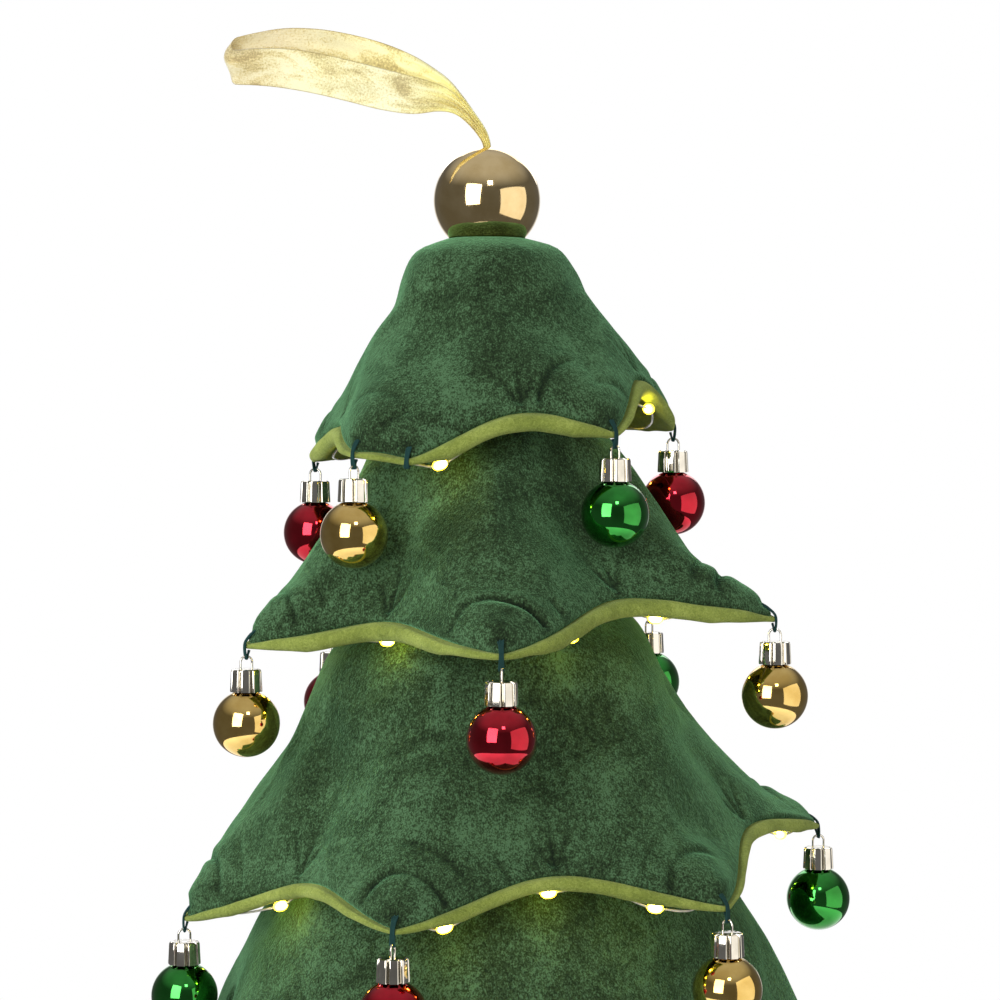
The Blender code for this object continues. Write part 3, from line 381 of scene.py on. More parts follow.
def organza():
    """Sheer metallic ribbon: fine threads both ways, firm edges, and painted light and shade along it: bright near
    the ball, darker and rosier at its far end.

    The light that comes through the thin cloth from behind is a little emission in the cloth's own colour.
    """
    f = Finish("gold_organza", 0.42, metallic=0.3, specular_ior_level=0.6, sheen_weight=0.5, alpha=0.86,
               emission_strength=0.15)
    f.place = f.nodes["Texture Coordinate"].outputs["UV"]
    along, across = (f.add("SeparateXYZ", {0: f.place}, axis) for axis in "XY")
    warp = f.noise(1.0, 2, 0.6, 0.0, f.stretched(4.0, 130.0, 1.0))
    weft = f.noise(1.0, 2, 0.6, 0.0, f.stretched(900.0, 6.0, 1.0))
    glitter = f.noise(1.0, 2, 0.7, 0.0, f.stretched(270.0, 21.0, 1.0))
    clouds = f.noise(1.0, 3, 0.5, 0.8, f.stretched(15.0, 2.0, 1.0))
    threads = f.ramp(f.mean((clouds, 0.42), (warp, 0.14), (weft, 0.14), (glitter, 0.30)),
                     (0.41, (0.54, 0.44, 0.22)), (0.48, (0.86, 0.77, 0.42)), (0.54, (1.00, 0.98, 0.74)))
    # Painted light and shade along the ribbon: bright near the ball, darker at the far end of the loop
    painted_light_along = f.ramp(along, (0.0, (1.0, 0.95, 0.45)), (0.11, (1.0, 0.98, 0.62)), (0.2, (1.0, 1.0, 0.92)),
                    (0.34, (1.0, 0.99, 0.86)), (0.45, (0.88, 0.82, 0.70)), (0.58, (0.80, 0.72, 0.60)),
                    (0.74, (0.98, 0.94, 0.70)), (0.88, (1.0, 0.97, 0.58)), (1.0, (1.0, 0.95, 0.42)))
    selvedge, plain = (0.62, 0.54, 0.34), (1, 1, 1)
    edges = f.ramp(across, (0.0, selvedge), (0.03, plain), (0.97, plain), (1.0, selvedge))
    cloth = f.chain("VectorMath", "MULTIPLY", threads, painted_light_along, edges)
    f.shade(emission_color=cloth)
    f.relief(f.mean((warp, 0.2), (weft, 0.2), (glitter, 0.6)), 0.0006, 0.9)
    return f.made(cloth, f.grey(clouds, 0.58, 0.40))


def clear_wire():
    f = Finish("clear_wire", 0.25, metallic=0.35, coat_weight=0.5)
    f.relief(f.wave(600, 1.0, "X"), 0.0001, 0.5)
    return f.made(f.ramp(f.noise(300, 2), (0.35, (0.45, 0.44, 0.40)), (0.65, (0.75, 0.72, 0.62))))


def glowing_bead():
    """A warm light in clear resin: white hot where it is seen through, yellow at its rim."""
    f = Finish("warm_bead", 0.15, coat_weight=0.6, emission_strength=45.0)
    cloudy = f.mean((f.add("LayerWeight", {"Blend": 0.35}, "Facing"), 0.8), (f.noise(500, 2), 0.4))
    f.shade(emission_color=f.ramp(cloudy, (0.25, (1.0, 0.80, 0.12)), (0.45, (0.60, 0.42, 0.012)),
                                  (0.80, (0.12, 0.07, 0.001))))
    return f.made(f.ramp(cloudy, (0.2, (1.0, 0.86, 0.40)), (0.8, (0.95, 0.66, 0.08))))


def black_plastic():
    f = Finish("black_plastic", 0.45)
    grain = f.noise(1400, 3, 0.6)
    f.relief(grain, 0.0002, 0.4)
    return f.made(f.ramp(f.noise(80, 3), (0.3, (0.012, 0.012, 0.013)), (0.7, (0.026, 0.026, 0.028))),
                  f.grey(grain, 0.38, 0.6))


def cell_wrap():
    f = Finish("cell_wrap", 0.3, metallic=0.85)
    brushed = f.noise(700, 3, 0.6, 0.0, f.stretched(0.1, 2.0, 2.0))
    f.relief(brushed, 0.0001, 0.4)
    return f.made(f.ramp(brushed, (0.3, (0.14, 0.14, 0.15)), (0.7, (0.34, 0.34, 0.36))),
                  f.grey(brushed, 0.2, 0.42))


def make_materials():
    return {
        "velvet": velvet(),
        "felt": felt(),
        "thread": thread(),
        "core_cloth": stuffed_cotton(),
        "wood": wood(),
        "ball_red": plated("red_plating", (0.56, 0.012, 0.030), (0.40, 0.006, 0.018)),
        "ball_gold": plated("gold_plating", (0.88, 0.62, 0.20), (0.72, 0.47, 0.12)),
        "ball_green": plated("green_plating", (0.035, 0.34, 0.045), (0.02, 0.22, 0.025)),
        "ball_champagne": plated("champagne_plating", (0.92, 0.70, 0.36), (0.78, 0.57, 0.26)),
        "cap_silver": plated("silver_plating", (0.88, 0.84, 0.75), (0.72, 0.68, 0.59)),
        "ribbon": organza(),
        "wire": clear_wire(),
        "bead": glowing_bead(),
        "black_plastic": black_plastic(),
        "cell_steel": cell_wrap(),
    }


# Shared mesh helpers
def around(azimuth, radius, height):
    """Points at an azimuth, as an array with x, y and z last."""
    radius, height, turn = np.broadcast_arrays(radius, height, np.radians(azimuth))
    return np.stack([radius * np.sin(turn), -radius * np.cos(turn), height], axis=-1)


def section_at(azimuth, section):
    """Points at an azimuth of a section, which has the radius and the height last."""
    return around(azimuth, section[..., 0], section[..., 1])


def all_round(count):
    """Even azimuths, one to a row."""
    return np.arange(count)[:, None] * 360 / count


def built_mesh(name, points, faces, material=None, smooth_deg=None):
    """A mesh of the faces. With an angle, they look outward and are smooth but for sharper edges."""
    mesh = bpy.data.meshes.new(name)
    mesh.from_pydata(np.asarray(points).reshape(-1, 3).tolist(), [], faces)
    if material:
        mesh.materials.append(material)
    if smooth_deg is None:
        return mesh
    mesh.calc_loop_triangles()
    corners = np.array([v.co for v in mesh.vertices])[np.array([t.vertices for t in mesh.loop_triangles])]
    if np.einsum("ij,ij->i", corners[:, 0], np.cross(corners[:, 1], corners[:, 2])).sum() < 0:
        mesh.flip_normals()
    mesh.validate()
    mesh.shade_smooth()
    mesh.set_sharp_from_angle(angle=math.radians(smooth_deg))
    return mesh


def placed(name, data):
    item = bpy.data.objects.new(name, data)
    bpy.context.scene.collection.objects.link(item)
    return item


def add_piece(name, mesh, body="tree", place=None, node=None):
    """A visible piece on a body, which stands for the node where one is named."""
    item = placed(name, mesh)
    if place is not None:
        item.matrix_world = place
    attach(item, body)
    if node:
        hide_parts(node)
    return item


def grid_faces(rows, columns, closed_rows=True, closed_columns=True):
    faces = []
    for i in range(rows if closed_rows else rows - 1):
        k = (i + 1) % rows
        for j in range(columns if closed_columns else columns - 1):
            m = (j + 1) % columns
            faces.append((i * columns + j, k * columns + j, k * columns + m, i * columns + m))
    return faces


def turned_mesh(name, profile, steps, material, smooth_deg=40):
    """A profile of (radius, height) turned round Z; its ends lie on the axis."""
    ring = section_at(all_round(steps), np.array(profile[1:-1]))
    columns = ring.shape[1]
    end = steps * columns
    faces = grid_faces(steps, columns, True, False)
    for low in range(0, end, columns):
        ahead = (low + columns) % end
        faces.append((end, ahead, low))
        faces.append((end + 1, low + columns - 1, ahead + columns - 1))
    points = np.vstack([ring.reshape(-1, 3), (0, 0, profile[0][1]), (0, 0, profile[-1][1])])
    return built_mesh(name, points, faces, material, smooth_deg)


def cubic(a, b, c, d, t):
    """A smooth curve through four even stations, read between the middle two."""
    return 0.5 * (2 * b + (c - a) * t + (2 * a - 5 * b + 4 * c - d) * t ** 2
                  + (3 * b - a - 3 * c + d) * t ** 3)


def smooth_path(points, step):
    """A curve through the points, at even steps."""
    points = np.asarray(points, float)
    ends = np.vstack([2 * points[0] - points[1], points, 2 * points[-1] - points[-2]])
    fine = []
    for a, b, c, d in zip(ends, ends[1:], ends[2:], ends[3:]):
        count = max(2, int(np.linalg.norm(c - b) / step))
        fine.append(cubic(a, b, c, d, (np.arange(count) / count)[:, None]))
    return np.vstack(fine + [points[-1:]])


def tube(points, radius, sides):
    """Vertices and faces of a closed tube along points."""
    along = np.gradient(points, axis=0)
    along /= np.linalg.norm(along, axis=1)[:, None]
    side = Vector((0.3, 0.5, 0.8)).cross(Vector(along[0])).normalized()
    rings = []
    for place, ahead in zip(points, along):
        ahead = Vector(ahead)
        side = (side - ahead * side.dot(ahead)).normalized()
        up = ahead.cross(side)
        for k in range(sides):
            turn = 2 * math.pi * k / sides
            rings.append(np.array(Vector(place) + (side * math.cos(turn) + up * math.sin(turn)) * radius))
    faces = grid_faces(len(points), sides, False, True)
    faces.append(tuple(range(sides)))
    faces.append(tuple(reversed(range(len(rings) - sides, len(rings)))))
    return np.array(rings), faces


def joined(parts):
    """Several (vertices, faces) as one."""
    vertices, faces, offset = [], [], 0
    for points, polygons in parts:
        vertices.append(points)
        faces += [tuple(i + offset for i in polygon) for polygon in polygons]
        offset += len(points)
    return np.vstack(vertices), faces


def smooth_read(table, share):
    """Reads a table of (place, value) pairs along a smooth curve through them."""
    x, y = np.array(table).T
    index = np.arange(len(x))
    low, high = np.maximum(index - 1, 0), np.minimum(index + 1, len(x) - 1)
    slope = (y[high] - y[low]) / (x[high] - x[low])
    k = np.clip(np.searchsorted(x, share, side="right") - 1, 0, len(x) - 2)
    width = x[k + 1] - x[k]
    u = (share - x[k]) / width
    return (y[k] * (1 + 2 * u) * (1 - u) ** 2 + y[k + 1] * u * u * (3 - 2 * u)
            + slope[k] * width * u * (1 - u) ** 2 - slope[k + 1] * width * u * u * (1 - u))


# The tiers' shape, as in the part's source
def core_radius(height):
    share = (CORE_TOP_Z - height) / (CORE_TOP_Z - TRUNK_TOP_Z)
    return CORE_TOP_R + (CORE_BOTTOM_R - CORE_TOP_R) * share


def hem(tier, azimuth):
    """The hem's reach and height, its valley's depth, and how far into an arch it is (0 at a point)."""
    tips = np.array(tier.tips, float)
    turned_to = (azimuth - tips[0]) % 360 + tips[0]
    i = np.searchsorted(tips, turned_to, side="right") - 1
    k = (i + 1) % len(tips)
    span = (tips[k] - tips[i]) % 360
    u = (turned_to - tips[i]) / span
    ease = u * u * (3 - 2 * u)
    reach, droop = (values[i] * (1 - ease) + values[k] * ease
                    for values in (np.array(tier.reaches), np.array(tier.droops)))
    reach = tier.hem_r * reach
    arch = np.sin(np.pi * u) ** ARCH_POWER * np.minimum(1.0, span / FULL_ARCH_DEG) ** 2
    rise = tier.rise * np.array(tier.lifts)[i] * arch
    valley = reach * tier.valley * np.array(tier.deeps)[i] * arch
    return reach, tier.hem_z - droop * (tier.top_z - tier.hem_z) + rise, valley, arch


def inner_start(tier):
    return CROWN_HOLE_R if tier is TIERS[0] else core_radius(tier.top_z) + GAP + SKIRT_T


def face(tier, azimuth, share):
    """Radius and height of the velvet's outer face, from its top (0) to its hem (1)."""
    reach, hem_z, valley = hem(tier, azimuth)[:3]
    start = inner_start(tier)
    radius = start + (reach - start) * smooth_read(tier.outline, share)
    radius = radius - valley * share ** STAR_POWER
    return np.stack([radius, tier.top_z + (hem_z - tier.top_z) * share], axis=-1)


def directions(tier, azimuth, share):
    """Down along the face and out of it, in the upright plane, and how much its turn stretches a depth."""
    step = 0.01
    high = face(tier, azimuth, np.maximum(share - step, 0))
    low = face(tier, azimuth, np.minimum(share + step, 1))
    down = (low - high) / np.linalg.norm(low - high, axis=-1, keepdims=True)
    out = np.stack([-down[..., 1], down[..., 0]], axis=-1)
    turn = 1.0
    change = face(tier, azimuth + turn, share) - face(tier, azimuth - turn, share)
    sideways = (change * out).sum(-1) / (2 * math.radians(turn) * face(tier, azimuth, share)[..., 0])
    return down, out, np.sqrt(1 + sideways ** 2)


def inward(tier, azimuth, share, depth):
    out, stretch = directions(tier, azimuth, share)[1:]
    return face(tier, azimuth, share) - out * (depth * stretch)[..., None]


def skirt_depth(share):
    return SKIRT_T + (HEM_T - SKIRT_T) * np.maximum(0.0, share - PAD_TAPER_SHARE) / (1 - PAD_TAPER_SHARE)


def clear_of_tip(tier, azimuth):
    return np.minimum(1.0, 2 * hem(tier, azimuth)[-1])


def roll_radius(tier, azimuth):
    share = TIP_ROLL_SHARE + (1 - TIP_ROLL_SHARE) * clear_of_tip(tier, azimuth)
    return ROLL_R * ROLL_SHARES[tier.name] * share


def roll_centre(tier, azimuth):
    roll = roll_radius(tier, azimuth)
    one = np.ones_like(azimuth)
    down = directions(tier, azimuth, one)[0]
    depth = np.maximum(HEM_T / 2, roll * ROLL_TUCK_SHARE)
    return inward(tier, azimuth, one, depth) + down * (HEM_T / 2 + CLOTH_GAP + roll)[..., None]


def azimuths(tier, step):
    return all_round(int(2 * math.pi * tier.hem_r / step))


def cloth_length(tier):
    """About how far the cloth reaches from its top to its hem."""
    return (tier.hem_r - inner_start(tier)) * 0.7 + (tier.top_z - tier.hem_z) * 0.8


# Velvet skirts
def wrapped(angle):
    return (angle + 180) % 360 - 180


def smoothstep(value):
    value = np.clip(value, 0, 1)
    return value * value * (3 - 2 * value)


def bumps(points, size, seed):
    shift = Vector((seed * 3.1, seed * 1.7, seed * 2.3))
    values = [noise.noise(Vector(p) / size + shift) for p in points.reshape(-1, 3)]
    return np.array(values).reshape(points.shape[:-1])


def aside(azimuth, place, points):
    """How far points at an azimuth are aside of another azimuth, along the cloth."""
    return np.radians(wrapped(azimuth - place)) * np.linalg.norm(points[..., :2], axis=-1)


def creases(tier, number, azimuth, points, up):
    """How far the velvet is lifted by its folds, swellings and dimples, and how much painted shade darkens its
    colour in the creases, the dimples and round the stitches.
    """
    lift = np.zeros_like(up)
    fold = np.zeros_like(up)
    for place, height, size, full in BELLIES[number]:
        across = aside(azimuth, place, points)
        lift += full * np.exp(-(across / size) ** 2 - ((points[..., 2] - height) / size) ** 2)
    for tip in tier.tips:
        across = aside(azimuth, tip, points)
        swelling = DOME_H * np.exp(-(np.hypot(across, (up - DOME_UP) / 1.1) / DOME_R) ** 2)
        stitch = np.exp(-(np.hypot(across, up - STITCH_UP) / STITCH_R) ** 2)
        lift += swelling * (1 - stitch)
        fold += STITCH_SHADE * stitch
    for place, ring, lean, half_angle, depth in CREASES[number]:
        offset = points - section_at(place, face(tier, np.array([float(place)]), np.ones(1))[0])
        angle = np.degrees(np.arctan2(offset @ around(place + 90.0, 1.0, 0.0), offset[..., 2]))
        wobble = 1 + 0.03 * np.sin(np.radians(angle * 3 + place))
        wobble = wobble + 0.06 * np.sin(np.radians(angle * 1.4 + place * 5))
        window = smoothstep(2.2 * (1 - np.abs(angle - lean) / half_angle))
        window = window * (0.8 + 0.3 * np.sin(np.radians(angle * 2.1 + place * 7)))
        away = (np.linalg.norm(offset, axis=-1) * wobble - ring) / CREASE_W
        rims = sum(np.exp(-((away - rim) / width) ** 2) for rim, width in CREASE_RIMS)
        lift += depth * window * (CREASE_RIM_SHARE * rims - np.exp(-np.abs(away) ** 1.6))
        # Painted shade, darkest along the middle of the crease
        fold = np.maximum(fold, depth / FULL_SHADE_DEPTH * window * np.exp(-(away / 0.9) ** 2))
    tips = sorted(tier.tips)
    for low, high in zip(tips, tips[1:] + [tips[0] + 360]):
        if high - low < FULL_ARCH_DEG:
            continue
        middle = low + (high - low) * (0.5 + 0.06 * math.sin(low))
        for turn in (-0.5, 0.0, 0.45):
            side = (aside(azimuth, middle, points) - up * turn) / DIMPLE_W
            height = (up - DIMPLE_UP) / (DIMPLE_LENGTH * (1 - abs(turn) * 4 / 11))
            dimple = (1 - 0.5 * abs(turn)) * np.exp(-side ** 2 - height ** 2)
            lift -= DIMPLE_DEPTH * dimple
            fold = np.maximum(fold, DIMPLE_SHADE * dimple)
    return lift, fold


def skirt_rows(tier):
    """Shares of the way down the face: close together near the hem, where the folds are."""
    length = cloth_length(tier)
    fine = min(FOLDED_LENGTH, length * 0.6)
    fine_rows = int(fine / (CLOTH_STEP * 0.85))
    broad_rows = int((length - fine) / (CLOTH_STEP * 1.8))
    turn = 1 - fine / length
    return np.concatenate([np.linspace(0, turn, broad_rows, endpoint=False), np.linspace(turn, 1, fine_rows)])


def outer_face(tier, azimuth, share):
    """Points of the outer face, their normals, and how far each is above the hem along the cloth."""
    azimuth, share = np.broadcast_arrays(azimuth, share)
    points = section_at(azimuth, face(tier, azimuth, share))
    steps = np.linalg.norm(np.diff(points, axis=1), axis=-1)
    up = np.concatenate([np.cumsum(steps[:, ::-1], axis=1)[:, ::-1], np.zeros((len(points), 1))], axis=1)
    round_it = np.roll(points, -1, axis=0) - np.roll(points, 1, axis=0)
    normal = np.cross(round_it, np.gradient(points, axis=1))
    normal /= np.linalg.norm(normal, axis=-1, keepdims=True)
    if (normal * around(azimuth, 1.0, 0.4)).sum() < 0:
        normal = -normal
    return points, normal, up


def rest_of_section(tier, azimuth):
    """Points round the hem and up the inside of the skirt."""
    turns = np.radians(np.linspace(0, 180, TURN_ROWS + 2)[1:])[None, :]
    down = directions(tier, azimuth, np.ones_like(azimuth))[0]
    hem_rows = inward(tier, azimuth, np.ones_like(turns), HEM_T / 2 * (1 - np.cos(turns)))
    hem_rows = hem_rows + down * (HEM_T / 2 * np.sin(turns))[..., None]
    share = np.linspace(0.95, 0.1, INSIDE_ROWS)[None, :]
    inside = inward(tier, azimuth, share, skirt_depth(share))
    if tier is TIERS[0]:
        ends = np.array([(CORE_TOP_R + GAP * 2, tier.top_z - SKIRT_T), (CROWN_HOLE_R, tier.top_z - SKIRT_T)])
    else:
        ends = np.array([(core_radius(tier.top_z) + GAP, tier.top_z)])
    ends = np.broadcast_to(ends, (len(azimuth), *ends.shape))
    return section_at(azimuth, np.concatenate([hem_rows, inside, ends], axis=1))


# The simulated pad: a coarse closed cloth that is sewn at its hem, its top and its points, and blown up
PAD_STEP = 0.0045
PAD_SEWN_SHARE = 0.08
PAD_FRAMES = 20
PAD_CAP = 0.0022
PAD_CLOTH = {
    "quality": 6, "mass": 0.1, "tension_stiffness": 12, "compression_stiffness": 12, "shear_stiffness": 4,
    "bending_stiffness": 3.0, "vertex_group_mass": "sewn", "shrink_min": -0.01, "use_pressure": True,
    "uniform_pressure_force": 4}


def stuffing_lift(tier):
    """How far stuffing pushes the velvet out, from a cloth simulation of the closed pad sewn at its edges."""
    azimuth = azimuths(tier, PAD_STEP)
    share = np.linspace(0, 1, int(cloth_length(tier) / PAD_STEP))
    points, normal, up = outer_face(tier, azimuth, share[None, :])
    grid = np.concatenate([points, rest_of_section(tier, azimuth)], axis=1)
    pad = placed("pad", built_mesh("pad", grid, grid_faces(*grid.shape[:2]), smooth_deg=80))
    sewn = np.ones(grid.shape[:2], bool)
    rows = points.shape[1]
    sewn[:, :rows] = (up < PAD_STEP) | (share[None, :] < PAD_SEWN_SHARE)
    for tip in tier.tips:
        sewn[:, :rows] |= np.hypot(aside(azimuth, tip, points), up) < PAD_STEP * 1.6
    group = pad.vertex_groups.new(name="sewn")
    group.add([int(i) for i in np.flatnonzero(sewn.ravel())], 1.0, "REPLACE")
    cloth = pad.modifiers.new("cloth", "CLOTH")
    for key, value in PAD_CLOTH.items():
        setattr(cloth.settings, key, value)
    cloth.settings.effector_weights.gravity = 0
    cloth.point_cache.frame_end = PAD_FRAMES
    for frame_number in range(1, PAD_FRAMES + 1):
        bpy.context.scene.frame_set(frame_number)
    result = pad.evaluated_get(bpy.context.evaluated_depsgraph_get()).to_mesh()
    moved = np.empty(len(result.vertices) * 3)
    result.vertices.foreach_get("co", moved)
    bpy.context.scene.frame_set(1)
    bpy.data.objects.remove(pad)
    moved = moved.reshape(grid.shape)[:, :rows]
    return azimuth[:, 0], share, ((moved - points) * normal).sum(-1)


def cubic_read(values, places, around_it):
    """Values along the first axis, read smoothly at fractional places."""
    base = np.floor(places).astype(int)
    rows = []
    for index in (base - 1, base, base + 1, base + 2):
        rows.append(values[index % len(values) if around_it else np.clip(index, 0, len(values) - 1)])
    return cubic(*rows, (places - base).reshape(-1, *[1] * (values.ndim - 1)))


def stuffed(tier, azimuth, share):
    """The simulated lift at the fine grid, less most of its mean, so that the skirt keeps its outline."""
    coarse_azimuth, coarse_share, lift = stuffing_lift(tier)
    lift = lift - lift.mean(axis=0, keepdims=True) * 0.8
    for smoothing in range(2):
        lift = lift / 2 + (np.roll(lift, 1, axis=0) + np.roll(lift, -1, axis=0)) / 4
        padded = np.pad(lift, ((0, 0), (1, 1)), mode="edge")
        lift = lift / 2 + (padded[:, 2:] + padded[:, :-2]) / 4
    lift = np.clip(lift, -PAD_CAP, PAD_CAP)
    lift = cubic_read(lift, azimuth[:, 0] / 360 * len(coarse_azimuth), True)
    return cubic_read(lift.T, share * (len(coarse_share) - 1), False).T


def swung_in_balls():
    """Centres of the bauble balls at the inward end of their swing, where some rest on the tier below."""
    centres = []
    for joint in swings():
        turn = Matrix.Rotation(math.radians(joint["range_deg"][0]), 3, Vector(joint["axis"]))
        centres.append(np.array(Vector(joint["pos_m"]) + turn @ Vector((0, 0, ball_centre()))))
    return centres


def pressed_back(points, normal):
    """The cloth with a shallow, soft-edged dent wherever a ball comes to rest on it.

    The cloth moves along its own normals, so each ball presses a second time on what is still in its way.
    """
    for centre in swung_in_balls() * 2:
        overlap = BALL_R + DENT_CLEARANCE - np.linalg.norm(points - centre, axis=-1)
        soft = np.clip(overlap + DENT_EDGE, 0, None) ** 2 / (4 * DENT_EDGE)
        points = points - normal * np.where(overlap < DENT_EDGE, soft, overlap)[..., None]
    return points


def skirt_grid(tier, number):
    """The padded skirt's points, by azimuth and place round its section, and the painted shade of each, darker in
    the folds.
    """
    azimuth = azimuths(tier, CLOTH_STEP)
    share = skirt_rows(tier)
    points, normal, up = outer_face(tier, azimuth, share[None, :])
    lift, fold = creases(tier, number, azimuth, points, up)
    lift += stuffed(tier, azimuth, share)
    lift += WAVE_H * bumps(points, WAVE_SIZE, number) + RIPPLE_H * bumps(points, RIPPLE_SIZE, number + 9)
    lift += PUCKER_H * np.exp(-up / PUCKER_UP) * bumps(points * (1, 1, 0.3), PUCKER_SIZE, number + 20)
    lift *= smoothstep(up / PLAIN_HEM) * smoothstep((share[None, :] - 0.06) / 0.2)
    points = pressed_back(points + normal * lift[..., None], normal)
    grid = np.concatenate([points, rest_of_section(tier, azimuth)], axis=1)
    return grid, np.pad(fold, ((0, 0), (0, grid.shape[1] - fold.shape[1])))


def make_skirt(tier, number, materials):
    grid, fold = skirt_grid(tier, number)
    name = "velvet_" + tier.name
    mesh = built_mesh(name, grid, grid_faces(*grid.shape[:2]), materials["velvet"], 80)
    # The mesh carries the painted shade of its creases, dimples and stitches, which the velvet's colour reads
    mesh.attributes.new("fold", "FLOAT", "POINT").data.foreach_set("value", fold.ravel())
    add_piece(name, mesh, node=tier.name + "_skirt")


# Felt linings with their rolled edge
def make_lining(tier, materials):
    """Felt inside the skirt, rolled over at its edge, with a little slack beside each point."""
    azimuth = azimuths(tier, FELT_STEP)
    roll = roll_radius(tier, azimuth)
    for tip in tier.tips:
        slack_at = tip - ROLL_SLACK_DEG if tip < ROLL_TURN_DEG else tip + ROLL_SLACK_DEG
        roll = roll * (1 - ROLL_SLACK_SHARE * np.exp(-(wrapped(azimuth - slack_at) / ROLL_SLACK_DEG) ** 2))
    down, out = directions(tier, azimuth, np.ones_like(azimuth))[:2]
    share = np.linspace(0.14, 0.97, INSIDE_ROWS)[None, :]
    depth = skirt_depth(share) + CLOTH_GAP
    high = inward(tier, azimuth, share, depth)
    low = inward(tier, azimuth, share, depth + LINING_T)[:, ::-1]
    turns = np.radians(np.linspace(75, -165, ROLL_POINTS))[None, :, None]
    outward = out * np.cos(turns) - down * np.sin(turns)
    section = np.concatenate([high, roll_centre(tier, azimuth) + outward * roll[..., None], low], axis=1)
    lumps = np.minimum(bumps(section_at(azimuth, section), LUMP_SIZE, 31) * LUMP_H, LUMP_TOP)
    section += np.concatenate([0 * high, outward, 0 * low], axis=1) * lumps[..., None]
    name = "felt_" + tier.name
    faces = grid_faces(*section.shape[:2])
    mesh = built_mesh(name, section_at(azimuth, section), faces, materials["felt"], 80)
    add_piece(name, mesh, node=tier.name + "_lining")


def make_stitches(tier, pivots, materials):
    """Blue green thread over the roll at each point, through the ring of the bauble that it carries."""
    strands = []
    for number, tip in enumerate(tier.tips):
        azimuth = np.array([float(tip)])
        centre = roll_centre(tier, azimuth)[0]
        roll = roll_radius(tier, azimuth)[0] + THREAD_R
        down, out = (d[0] for d in directions(tier, azimuth, np.ones(1))[:2])
        across = around(tip + 90, 1.0, 0.0)
        edge = face(tier, azimuth, np.ones(1))[0]
        low = around(tip, *(centre + down * (roll + THREAD_R * 2)))
        if tier.hung[number]:
            low = min(pivots, key=lambda p: np.linalg.norm(p - low))
        over = edge - down * STITCH_OVER + out * THREAD_R * 0.8
        front = centre + out * roll
        back = centre - out * roll * 0.8 + down * roll * 0.5
        for side, above in STITCH_STRANDS:
            start = edge - down * above - out * THREAD_R
            spread = across * side * STITCH_SPREAD
            route = [around(tip, *start) + spread, around(tip, *over) + spread * 0.7,
                     around(tip, *front) + spread * 0.5, low + spread * 0.7,
                     around(tip, *back) - spread * 0.5]
            strands.append(tube(smooth_path(route, STITCH_STEP), THREAD_R, 6))
    name = "stitches_" + tier.name
    add_piece(name, built_mesh(name, *joined(strands), materials["thread"], 60))


# Baubles
def cap_top():
    return -(RING_R + RING_LEG + RING_SLACK)


def ball_centre():
    rim = math.sqrt(BALL_R ** 2 - (CAP_R - CAP_FLUTE) ** 2)
    return cap_top() - CAP_H - rim + CAP_FLUTE


def ball_mesh(material):
    neck = math.asin(NECK_R / BALL_R)
    turns = np.linspace(-math.pi / 2, math.pi / 2 - neck, 30)
    profile = [(BALL_R * math.cos(t), ball_centre() + BALL_R * math.sin(t)) for t in turns]
    top = profile[-1][1] + NECK_H
    profile = [(0, profile[0][1])] + profile[1:] + [(NECK_R, top), (0, top)]
    return turned_mesh("bauble_ball", profile, BALL_STEPS, material)


def cap_mesh(material):
    """A pressed cap with broad upright flutes, a rolled top edge and an open foot on the ball."""
    top = cap_top()
    rim_z = ball_centre() + math.sqrt((BALL_R + GAP) ** 2 - (CAP_R - CAP_FLUTE) ** 2)
    pocket_z = ball_centre() + BALL_R + NECK_H + GAP
    pocket_rim = ball_centre() + math.sqrt((BALL_R + GAP) ** 2 - CAP_POCKET_R ** 2) + GAP
    steps = CAP_FLUTES * CAP_FLUTE_STEPS
    azimuth = all_round(steps)[:, 0]
    pitch = 360 / CAP_FLUTES
    local = np.abs((azimuth + pitch / 2) % pitch - pitch / 2)
    flat = np.cos(math.radians(pitch / 2)) / np.cos(np.radians(pitch / 2 - local))
    swell = CAP_R * (flat - 1) + CAP_FLUTE * (1 - 2.4 * np.exp(-(local / CAP_SLOT_DEG) ** 2))
    rings = (
        (CAP_POCKET_R, pocket_z, 0.0), (CAP_POCKET_R, pocket_rim, 0.0),
        (CAP_R * 0.93, rim_z + CAP_BEAD * 0.1, 0.9), (CAP_R, rim_z, 1.0),
        (CAP_R * 1.01, rim_z + CAP_BEAD * 0.6, 1.0),
        (CAP_R * 0.97, rim_z + CAP_H * 0.5, 1.0), (CAP_R * 0.95, top - CAP_BEAD, 1.0),
        (CAP_R * 0.92, top - CAP_BEAD * 0.3, 0.9), (CAP_R * 0.84, top, 0.6),
        (CAP_R * 0.6, top - CAP_BEAD * 0.1, 0.1), (CAP_R * 0.3, top + CAP_BEAD * 0.1, 0.0))
    grid = np.stack([around(azimuth, r + swell * share, z) for r, z, share in rings], axis=1)
    columns = len(rings)
    faces = grid_faces(steps, columns, True, False)
    faces.append(tuple(range(0, steps * columns, columns)))
    faces.append(tuple(range(steps * columns - 1, 0, -columns)))
    return built_mesh("bauble_cap", grid, faces, material, 45)


def ring_mesh(material):
    middle = -RING_R + RING_WIRE_R + RING_SLACK + THREAD_R
    foot = cap_top() - RING_WIRE_R
    arch = [(0, RING_R * math.cos(t), middle + RING_R * math.sin(t)) for t in np.linspace(0, math.pi, 13)]
    path = smooth_path([(0, RING_R, foot), *arch, (0, -RING_R, foot)], RING_WIRE_R)
    return built_mesh("bauble_ring", *tube(path, RING_WIRE_R, 8), material, 60)


def swings():
    return [joint for joint in frame["joints"] if joint["name"].endswith("_swing")]


